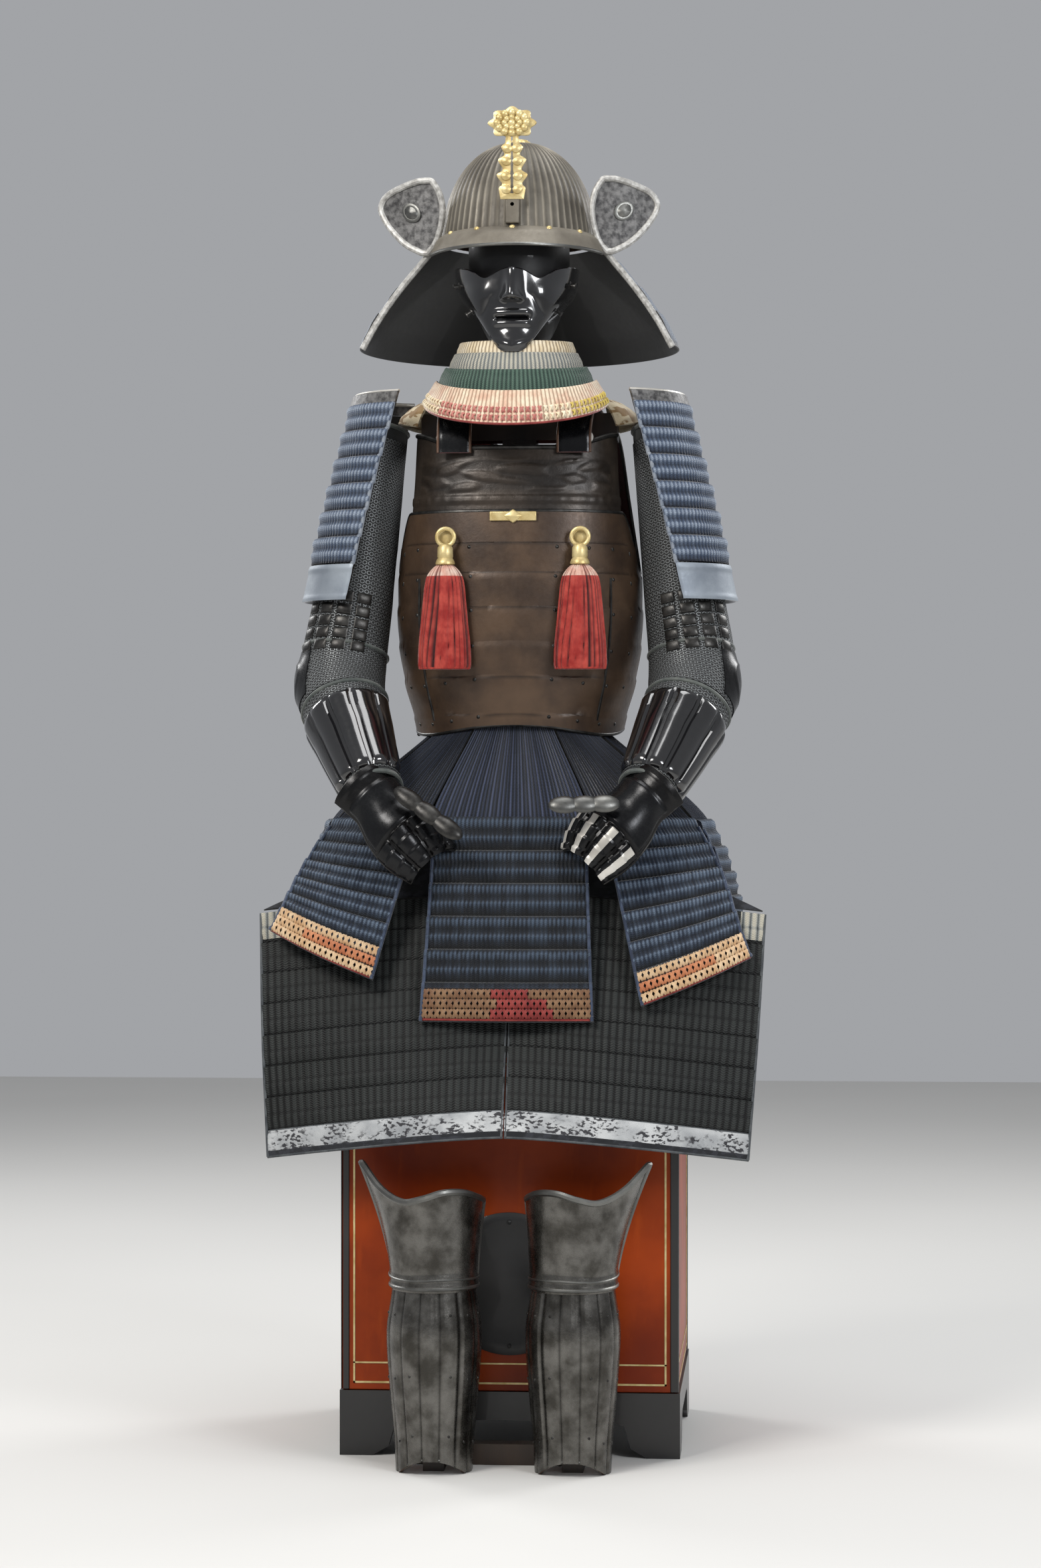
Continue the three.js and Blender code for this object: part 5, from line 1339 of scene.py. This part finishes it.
def buildSleeves():
    f = forearm
    e, half, halfV = elbowGuard, elbowGuard["halfAngle"], elbowGuard["halfV"]
    points, faces = turnedMesh(armPlateProfile, 4)
    x, y, z = points.T
    base = vec((x - y) * armPlate["width"], (x + y) * armPlate["length"], z * armPlate["height"])
    for word, side in sides.items():
        surface = mirrored(sleevePoint, side)
        inside = lambda points, v, side=side: readCurve(sleevePath, v)[..., :3] * [side, 1, 1]
        piece = shell("sleeve_cloth_" + word, surface, steps(0, 360, 48)[:-1], steps(0, 1, 66),
                      ["cloth", "lining"], relief=sleeveFolds, inside=inside, closed=True,
                      slot="sleeve_cloth", nodes=["sleeve_upper_" + word, "sleeve_lower_" + word])
        for part, (along, sweep) in mailPatches.items():
            shell(f"sleeve_mail_{part}_{word}", surface, steps(*sweep, 36), steps(*along, 42), ["mail"],
                  base=2.3, thick=0.9, relief=lambda u, v: 0.2 * sin(u * 20) * sin(v * 9000), inside=inside,
                  slot="sleeve_cloth")
        for part, (along, angles, lift, widen, color) in armPlates.items():
            rows, columns = np.meshgrid(along, angles, indexing="ij")
            spots = spotsOn(surface, columns.ravel(), rows.ravel(), lift, inside)
            fitting(f"sleeve_{part}_plates_{word}", manyMesh((base * widen, faces), *spots), color,
                    "black_lacquer", crease=50)
        shell("elbow_guard_" + word, surface, steps(e["angle"] - half, e["angle"] + half, 44),
              steps(e["v"] - halfV, e["v"] + halfV, 36), ["blackPlate"], base=2.4, relief=elbowRelief,
              inside=inside, slot="black_lacquer", nodes=["elbow_plate_" + word])
        shell("forearm_splints_" + word, surface, steps(f["from"], f["to"], f["splints"] * 14),
              steps(f["start"], f["end"], 30), ["black"], base=2.4, relief=forearmRelief, inside=inside,
              slot="black_lacquer", nodes=["forearm_guard_" + word], crease=50)
        for v, radius in bindings:
            path = pathOn(surface, (steps(0, 360, 90)[:-1], v))
            centre = readCurve(sleevePath, np.array([v]))[0, :3] * [side, 1, 1]
            rimOf(f"sleeve_binding_{int(v * 100)}_{word}", centre + (path - centre) * 1.05, radius,
                  "cuffBinding", "sleeve_cloth", closed=True)
    print("sleeves built")


hand = {"wrist": (162, -212, 829), "along": (-0.7, -0.42, -0.58), "facing": (-0.1, -0.85, 0.5), "length": 108,
        "curl": 28, "cuffLift": 18, "cuffStart": -0.36, "sweep": 64, "fingers": 4, "fingerStart": 0.46,
        "fingerShare": 0.86, "silverShare": 0.34, "lame": 0.16, "thumbPlates": 3, "thumbWidth": 12.5,
        "thumbHeight": 7, "thumbLift": 3}
handSections = [(-0.36, 45), (-0.18, 43), (0, 41), (0.25, 49), (0.5, 53), (0.75, 50), (1, 40)]
thumbs = {"left": ((134, -236, 822), (60, -250, 820)), "right": ((-134, -232, 836), (-62, -254, 784))}
# painted highlight: on the left hand a silver stripe runs along each finger bar's crest and its thumb plates
# are lighter; the right hand's are dark
handSkins = {"left": ["blackPlate", "silver", "lining"], "right": ["blackPlate", "blackPlate", "lining"]}
thumbSkins = {"left": "silverDim", "right": "darkIron"}


def handPoint(u, v):
    along = np.array(hand["along"]) / np.linalg.norm(hand["along"])
    across = np.cross(along, hand["facing"])
    across /= np.linalg.norm(across)
    up = np.cross(across, along)
    radius = readCurve(handSections, v)[..., 0]
    lift = hand["cuffLift"] * smooth(0.25 - v, 0, 0.6)
    return (np.array(hand["wrist"], float) + along * (hand["length"] * (v - 0.12 * v**3))[..., None]
            + across * (radius * sin(u))[..., None]
            + up * (lift - radius * (1 - cos(u)) - hand["curl"] * np.sign(v) * np.abs(v) ** 3)[..., None])


# How far across its finger a point lies: 0 in the middle, and 1 between two fingers.
def acrossFinger(u):
    return np.abs(((u + hand["sweep"]) / (2 * hand["sweep"]) * hand["fingers"]) % 1 - 0.5) * 2


# Lapped finger bars, and on the back of the hand a bordered dome with studs and a rolled cuff.
def handRelief(u, v):
    h = hand
    start, cuffStart, across = h["fingerStart"], h["cuffStart"], acrossFinger(u)
    lame = ((v - start) / h["lame"]) % 1
    bar = np.sqrt(np.maximum(1 - (across / h["fingerShare"]) ** 2, 0))
    fingers = smooth(v, start, start + 0.03) * (5 * bar + 2.4 * (1 - lame) * (across < h["fingerShare"]))
    edge = (smooth(start - 0.02 - v, 0, 0.03) * smooth(v - cuffStart - 0.2, 0, 0.04)
            * smooth(h["sweep"] - 5 - np.abs(u), 0, 4))
    dome = 2.6 * smooth(1.05 - np.hypot(u / 50, (v - 0.24) / 0.34), 0, 0.7)
    studs = 1.4 * bell(np.hypot((np.abs(u) - 26) / 5, (v - 0.5) / 0.03), 0, 0.8)
    cuff = 1.2 * smooth(cuffStart + 0.1 - v, 0, 0.02)
    # painted light: the finger bars and the plate's raised border are lit, and the dome and hollows are in
    # painted shade
    return fingers + 2.6 * edge + dome + studs + cuff, 0.25 + 0.75 * np.clip(bar * (v > start) + edge, 0, 1)


# Short domed plates that overlap along the thumb's line.
def thumbMesh(word, side):
    h = hand
    count = h["thumbPlates"]
    start, end = (np.array(point, float) for point in thumbs[word])
    length = np.linalg.norm(end - start)
    line = (end - start) / length
    out = np.array(h["facing"]) * [side, 1, 1]
    out = out - line * out.dot(line)
    out /= np.linalg.norm(out)
    places = start + (end - start) * ((np.arange(count) + 0.5) / count)[:, None] + out * h["thumbLift"]
    points, faces = domeMesh(1, 1, 24, 6)
    points = points * [length / count * 0.8, h["thumbWidth"], h["thumbHeight"]]
    ways = (np.tile(way, (count, 1)) for way in (line, np.cross(out, line), out))
    return manyMesh((points, faces), places, *ways)


def buildHands():
    h = hand
    sweep, cuffStart = h["sweep"], h["cuffStart"]
    along, across = steps(cuffStart, 1, 60), steps(sweep, -sweep, 40)
    for word, side in sides.items():
        surface = mirrored(handPoint, side)
        shell("hand_plate_" + word, surface, steps(-sweep, sweep, 64), steps(cuffStart, 1, 72),
              handSkins[word], relief=handRelief, inside=(side * 120, 0, 700),
              zones=lambda u, v: (v > h["fingerStart"] + 0.01) & (acrossFinger(u) < h["silverShare"]),
              slot="black_lacquer", nodes=["hand_guard_" + word], crease=60)
        border = pathOn(surface, (-across, cuffStart), (sweep, along[1:]), (across[1:], 1),
                        (-sweep, along[::-1][1:-1]))
        rimOf("hand_binding_" + word, border, 2.2, "darkIron", "black_lacquer", closed=True)
        fitting("thumb_plates_" + word, thumbMesh(word, side), thumbSkins[word], "black_lacquer")
    print("hands built")


skirt = {"hip": 0.3, "border": 0.87, "lames": 5, "looseRows": 14, "looseHeight": 2.2, "strand": 5.6,
         "knot": 8.0, "knotSize": 8.8, "knotRow": 12.6, "lastKnotRow": 0.974}
# the colour of each row of knots, from one end of the row to the other
tassetColors = {
    # the front's cream knots are the darker copy, painted in shade
    "front": [lambda t: "knotRed" if 0.42 < t < 0.62 else "knotTan",
              lambda t: "knotRed" if 0.46 < t < 0.74 else "knotTan",
              lambda t: "knotRed" if 0.4 < t < 0.8 else "knotTan"],
    "side": [lambda t: "knotCream",
             lambda t: "knotOrange" if t < 0.7 else "knotCream",
             lambda t: "knotCream"],
}
# the front's lacing and the sides' waist lacing are the darker copies, painted in shade
tassetSkins = {"front": ["frontBlue", "waistBlue", "borderBack", "mattBlack"],
               "side": ["blue", "sideWaist", "borderBack", "mattBlack"]}
tassetEdges = {
    "front": [(0, 48, -108, 923), (0.3, 102, -171, 804), (0.42, 99, -184, 760), (1, 109, -241, 551)],
    "frontSideNear": [(0, 50, -107, 923), (0.3, 107, -170, 804), (0.42, 124, -182, 760), (1, 168, -236, 586)],
    "frontSideFar": [(0, 90, -74, 923), (0.3, 226, -112, 801), (1, 304, -184, 645)],
    "sideNear": [(0, 95, -68, 923), (0.3, 230, -96, 799), (1, 290, -112, 612)],
    "sideFar": [(0, 101, 46, 923), (0.3, 230, 84, 799), (1, 284, 96, 606)],
    "backNear": [(0, 97, 54, 923), (0.3, 224, 102, 799), (1, 262, 134, 600)],
    "backFar": [(0, 3, 95, 923), (0.3, 3, 182, 799), (1, 3, 222, 596)],
}
# each pair of tassets: its name, its two edges, how far it bows out, and how much lower its left one hangs
tassetPairs = [("front_side", "frontSideNear", "frontSideFar", 12, 16),
               ("side", "sideNear", "sideFar", 14, 0),
               ("back", "backNear", "backFar", 26, 0)]


def tassetEdge(name, side, drop=0):
    def edge(v):
        point = readCurve(tassetEdges[name], v) * [side, 1, 1]
        point[..., 2] -= side * drop * smooth(v, skirt["hip"], 1)
        return point
    return edge


def tassetSurface(nearEdge, farEdge, bulge):
    def surface(u, v):
        near, far = nearEdge(v), farEdge(v)
        out = np.cross(far - near, [0, 0, 1.0])
        out /= np.linalg.norm(out, axis=-1, keepdims=True) + 1e-9
        point = near + (far - near) * np.asarray(u)[..., None]
        turn = np.sign((out[..., :2] * point[..., :2]).sum(-1))
        swell = bulge * sin(180 * u) * lerp(0.35, 1, smooth(v, 0, skirt["hip"]))
        return point + out * (turn * swell)[..., None]
    return surface


def buildTasset(name, kind, surface):
    s = skirt
    near, far = surface(np.array([0.0, 1.0]), np.array([0.95, 0.95]))
    width = np.linalg.norm(far - near)
    strands = int(round(width / s["strand"]))
    hip, border, loose = s["hip"], s["border"], s["looseRows"]
    vs, heights, places = lameRows(list(steps(hip, border, s["lames"])) + [1.0], 9, step=0.05)
    rows = (np.concatenate([np.linspace(0, hip - 0.004, loose), vs]),
            np.concatenate([np.full(loose, s["looseHeight"]), heights]),
            np.concatenate([np.full(loose, 0.5), places]))
    lacedShell("tasset_lames_" + name, surface, steps(0, 1, strands * 2), rows, strands, tassetSkins[kind],
               (0, 1), loose=hip - 0.001, border=border + 0.012, ridge=3.4,
               zones=lambda u, v: (v < hip - 0.004) * 1 + (v > border + 0.01) * 2,
               slot="blue_lacing", nodes=["tasset_" + name])
    count = int(round(width / s["knot"]))
    us = (np.arange(count) + 0.5) / count * 0.97 + 0.015
    low, high = pathOn(surface, (0.5, [1.0, 0.9]))
    rowStep = s["knotRow"] / np.linalg.norm(low - high) * 0.1
    knotRows = [(s["lastKnotRow"] - rowStep * (2 - row), color)
                for row, color in enumerate(tassetColors[kind])]
    knots("tasset_knots_" + name, surface, axisInside, knotRows, us, s["knotSize"], 4.2)
    foot = spotsOn(surface, steps(0.005, 0.995, 80), 0.992, 2.4)[0]
    rimOf("tasset_foot_" + name, foot, 2.2, "knotRed", "red_silk")
    v = steps(hip + 0.04, 1.0, 110)
    for part, u in (("near", 0.012), ("far", 0.988)):
        edgeCord(f"tasset_edge_{part}_{name}", surface, u, v, ((v - hip) / (border - hip) * s["lames"]) % 1,
                 6.6, 2.2, "edging", "blue_lacing")


def buildTassets():
    buildTasset("front", "front", tassetSurface(tassetEdge("front", -1), tassetEdge("front", 1), 9))
    for word, side in sides.items():
        for part, near, far, bulge, drop in tassetPairs:
            edges = (tassetEdge(edge, side, drop) for edge in (near, far))
            buildTasset(f"{part}_{word}", "side", tassetSurface(*edges, bulge))
    print("tassets built")


apron = {"swell": 24, "droop": 1.5, "lames": 7, "rowsPerLame": 11, "hemTop": 0.895, "bandTop": 0.975,
         "columns": 34}
apronMiddle = [(0, 1, -162, 705), (0.27, 1, -190, 625), (0.52, 1, -217, 552), (0.76, 1, -249, 482),
               (1, 1, -288, 410)]
apronSide = [(0, 322, -146, 681), (0.5, 312, -194, 530), (1, 300, -228, 379)]
# the waist cloth: its reach, and the y and z of its outer and middle edges
apronYoke = [(0, 106, -84, 872, -104, 874), (0.5, 178, -104, 786, -132, 794),
             (0.86, 258, -130, 716, -152, 730), (1, 318, -145, 686, -161, 709)]
apronInside = (0, 400, 500)


def apronPoint(u, v):
    middle, side = readCurve(apronMiddle, v), readCurve(apronSide, v)
    u = np.asarray(u, float)
    point = middle + (side - middle) * u[..., None]
    point[..., 2] = lerp(middle[..., 2], side[..., 2], np.maximum(u, 0) ** apron["droop"])
    point[..., 1] -= apron["swell"] * sin(180 * u) * smooth(v, -0.1, 0.6)
    return point


def yokePoint(u, v):
    row = readCurve(apronYoke, v)
    reach, outerY, outerZ, middleY, middleZ = np.moveaxis(row, -1, 0)
    bow = np.abs(u) ** apron["droop"]
    return vec(reach * u, lerp(middleY, outerY, np.abs(u)), lerp(middleZ, outerZ, bow))


def hemRelief(u, v):
    t = (v - apron["hemTop"]) / (1 - apron["hemTop"])
    edge = np.minimum(t, 1 - t)
    height = 1.6 * smooth(edge, 0, 0.25) + 0.45 * sin(u * 1500) * bell(t, 0.5, 0.4)
    return height, 0.5 + 0.5 * smooth(edge, 0, 0.12)


def buildApron():
    a = apron
    edges = list(steps(0, a["hemTop"] - 0.003, a["lames"]))
    vs, heights, places = lameRows(edges, a["rowsPerLame"], foot=2.8, step=0.05)

    # small plates with round heads in the upper half of each lame, and laces over them in the lower half
    def plates(u, v):
        root = np.sqrt(np.abs(sin(u * 180 * a["columns"])))
        t, height = (np.broadcast_to(rows[:, None], u.shape) for rows in (places, heights))
        scale = 1.4 * root * smooth(0.96 - t, 0, 0.1)
        lace = 1.4 * bell(t, 0.66, 0.1) + 0.8 * bell(t, 0.86, 0.05)
        # painted shade between the plates' columns, at each lame's foot and along a line across its middle
        shade = np.clip(0.15 + 0.9 * root - 0.6 * smooth(t, 0.9, 1.0) - 0.35 * bell(t, 0.5, 0.05), 0, 1)
        return height - plate + scale + lace, shade

    for word, side in sides.items():
        surface = mirrored(apronPoint, side)
        shell("apron_plates_" + word, surface, steps(0, 1, a["columns"] * 3), vs,
              ["dark", "greyCream", "yoke"], zones=lambda u, v: (u > 0.9) & (v < 0.1), relief=plates,
              inside=apronInside, slot="dark_lacing", nodes=["apron_" + word], crease=50)
        piece = shell("apron_hem_cloth_" + word, surface, steps(0, 1, 90),
                      lerp(a["hemTop"], 1, steps(0, 1, 14)), ["brocade", "yoke"], thick=4,
                      relief=hemRelief, inside=apronInside,
                      zones=lambda u, v: v > a["bandTop"], slot="silver_brocade", nodes=["apron_hem_" + word])
        across, down = steps(0, 1, 100), steps(0, 1, 120)
        for name, u, v, lift, radius in (
                ("piping_top", across, a["hemTop"], 3.0, 1.2), ("piping_foot", across, 1.0, 3.0, 1.6),
                ("border_middle", 0.006, down, 4.6, 1.4), ("border_outer", 0.996, down, 4.6, 2.0)):
            path = spotsOn(surface, u, v, lift, apronInside)[0]
            rimOf(f"apron_{name}_{word}", path, radius, "piping", "dark_lacing")

    piece = shell("apron_waist_cloth", yokePoint, steps(-1, 1, 84), steps(0, 1, 30), ["yoke"],
                  relief=lambda u, v: 1.3 * sin(u * 900 + v * 200) * smooth(v, 0.0, 0.2),
                  inside=(0, 400, 700), slot="sleeve_cloth", nodes=["apron_cloth"])
    print("apron built")


shin = {"sweep": 118, "top": 232, "instep": 18, "depthShare": 1.12, "splints": 9, "kneeSweep": 104,
        "kneeFoot": 225, "kneeHalf": 51, "rivetRows": (0.16, 0.5, 0.84), "ties": {"high": 188, "low": 70}}
shinRings = [(0, 43.5), (40, 45.5), (90, 50), (150, 54.5), (180, 54.5), (210, 50), (232, 47)]
kneeRim = [(-104, -58, 26, 331), (-70, -55, -10, 338), (-38, -39, -42, 347), (-12, -16, -60, 348),
           (12, 8, -63, 341), (38, 34, -52, 336), (70, 64, -22, 349), (104, 93, 22, 377)]


# A point x, y of a leg's oval, from the middle of its shin.
def shinOval(angle, half):
    x, y = oval(angle, half, half * shin["depthShare"])
    return stand["shinX"] + x, stand["shinY"] + y


def shinPoint(u, v):
    z = lerp(gap + shin["instep"] * np.maximum(0, cos(u * 1.5)), shin["top"], v)
    return vec(*shinOval(u, readCurve(shinRings, z)[..., 0]), z)


def kneePoint(u, v):
    x, y = shinOval(u, shin["kneeHalf"])
    rimX, rimY, rimZ = np.moveaxis(readCurve(kneeRim, u), -1, 0)
    flare = np.maximum(v, 0) ** 1.5
    return vec(lerp(x, stand["shinX"] + rimX, flare), lerp(y, stand["shinY"] + rimY, flare),
               lerp(shin["kneeFoot"], rimZ, v))


def shinRelief(u, v):
    across = np.abs(((u + shin["sweep"]) / (2 * shin["sweep"]) * shin["splints"]) % 1 - 0.5) * 2
    body = smooth(0.9 - across, 0, 0.12)
    return body * 1.7 + 1.6 * bell(u, 0, 3.2) + 0.5 * (1 - across) * body, 0.25 + 0.75 * body


# Spaced ribs up the knee plate, over two raised bands at its foot.
def kneeRelief(u, v):
    ribs = bell(np.abs(sin(u * 1.6 + 8)), 1, 0.25) * smooth(v, 0.1, 0.3) * smooth(0.95 - v, 0, 0.2)
    return 0.9 * ribs + 2.2 * bell(v, 0.06, 0.035) + 1.6 * bell(v, 0.14, 0.02)


def buildShins():
    s = shin
    sweep, kneeSweep = s["sweep"], s["kneeSweep"]
    for word, side in sides.items():
        inside = axisAt(side * stand["shinX"], stand["shinY"])
        surface, knee = mirrored(shinPoint, side), mirrored(kneePoint, side)
        common = {"inside": inside, "slot": "shin_iron", "crease": 50}
        shell("shin_splints_" + word, surface, steps(-sweep, sweep, s["splints"] * 12), steps(0, 1, 36),
              ["shin", "leather"], relief=shinRelief, nodes=["shin_guard_" + word], **common)
        shell("knee_plate_" + word, knee, steps(-kneeSweep, kneeSweep, 64), steps(0, 1, 40),
              ["shin", "leather"], relief=kneeRelief, nodes=["knee_guard_" + word], **common)
        rim = pathOn(knee, (-kneeSweep, steps(0.1, 1, 39)), (steps(-kneeSweep, kneeSweep, 110)[1:], 1),
                     (kneeSweep, steps(1, 0.1, 39)[1:]))
        rimOf("knee_rolled_rim_" + word, rim, 4.4, "silverDim", "shin_iron")
        for name, v, radius in (("low", 0.04, 2.4), ("high", 0.13, 1.6)):
            path = spotsOn(knee, steps(-kneeSweep, kneeSweep, 90), v, 3.2, inside)[0]
            rimOf(f"knee_band_{name}_{word}", path, radius, "silverDim", "shin_iron")
        foot = pathOn(surface, (steps(-sweep, sweep, 100), 0)) + [0, 0, 2.4]
        rimOf("shin_foot_rim_" + word, foot, 2.6, "silverDim", "shin_iron")
        centres = (np.arange(s["splints"]) + 0.5) / s["splints"] * 2 * sweep - sweep
        spots = joinedSpots([spotsOn(surface, centres, v, 4.0, inside) for v in s["rivetRows"]])
        fitting("shin_rivets_" + word, manyMesh(domeMesh(2.0, 1.3, 8), *spots), "darkIron", "shin_iron")
        # two ties that hold the guard to its post
        for name, z in s["ties"].items():
            half = readCurve(shinRings, z)[0] - 1
            path = vec(*shinOval(steps(sweep, 360 - sweep, 40), half), z) * [side, 1, 1]
            rimOf(f"shin_tie_{name}_{word}", path, 2.2, "edging", "blue_lacing")
    print("shin guards built")


for build in (buildChest, buildStand, buildBowl, buildNeckGuard, buildTurnbacks, buildFinial, buildMask,
              buildThroat, buildCuirass, buildShoulders, buildTassels, buildShoulderGuards, buildSleeves,
              buildHands, buildTassets, buildApron, buildShins):
    build()

studio = {"azimuth": 4.2, "distance": 5.0, "height": 0.848, "lens": 87.6, "sensor": 36, "floor": 12.0,
          "sky": (0.86, 0.88, 0.92, 1), "skyStrength": 0.42, "aim": 0.9}
# each lamp's place, size, power and tint
lamps = {
    "key": ((-1.7, -2.6, 3.2), 1.2, 100, (1.0, 0.97, 0.93)),
    "fill": ((2.2, -2.6, 2.2), 1.0, 55, (0.95, 0.97, 1.0)),
    "top": ((0.2, -0.2, 4.0), 1.6, 45, (1, 1, 1)),
    "rimLeft": ((-2.4, 2.2, 2.6), 1.2, 45, (1, 1, 1)),
    "rimRight": ((2.4, 2.2, 2.6), 1.2, 45, (1, 1, 1)),
}


def placedObject(name, data, place, turn):
    made = bpy.data.objects.new(name, data)
    bpy.context.scene.collection.objects.link(made)
    made.location, made.rotation_euler = place, turn
    return made


def buildStudio():
    s = studio
    bpy.ops.mesh.primitive_grid_add(x_subdivisions=4, y_subdivisions=4, size=s["floor"], location=(0, 0, 0))
    floor = bpy.context.object
    floor.name = "floor"
    floor.data.materials.append(skin["floor"])
    world = bpy.data.worlds.new("studio")
    bpy.context.scene.world = world
    world.use_nodes = True
    back = world.node_tree.nodes["Background"]
    back.inputs[0].default_value, back.inputs[1].default_value = s["sky"], s["skyStrength"]
    for name, (place, size, power, tint) in lamps.items():
        light = bpy.data.lights.new(name, "AREA")
        light.size, light.energy, light.color = size, power, tint
        aim = Vector(np.array([0, postY, s["aim"]]) - np.array(place))
        placedObject(name, light, place, aim.to_track_quat("-Z", "Y").to_euler())
    camera = bpy.data.cameras.new("camera")
    camera.sensor_fit, camera.lens = "VERTICAL", s["lens"]
    camera.sensor_height = camera.sensor_width = s["sensor"]
    place = (s["distance"] * sin(s["azimuth"]), postY - s["distance"] * cos(s["azimuth"]), s["height"])
    turn = (math.radians(90), 0, math.radians(s["azimuth"]))
    bpy.context.scene.camera = placedObject("camera", camera, place, turn)
    bpy.context.scene.view_settings.view_transform = "Standard"
    print("studio set")


buildStudio()
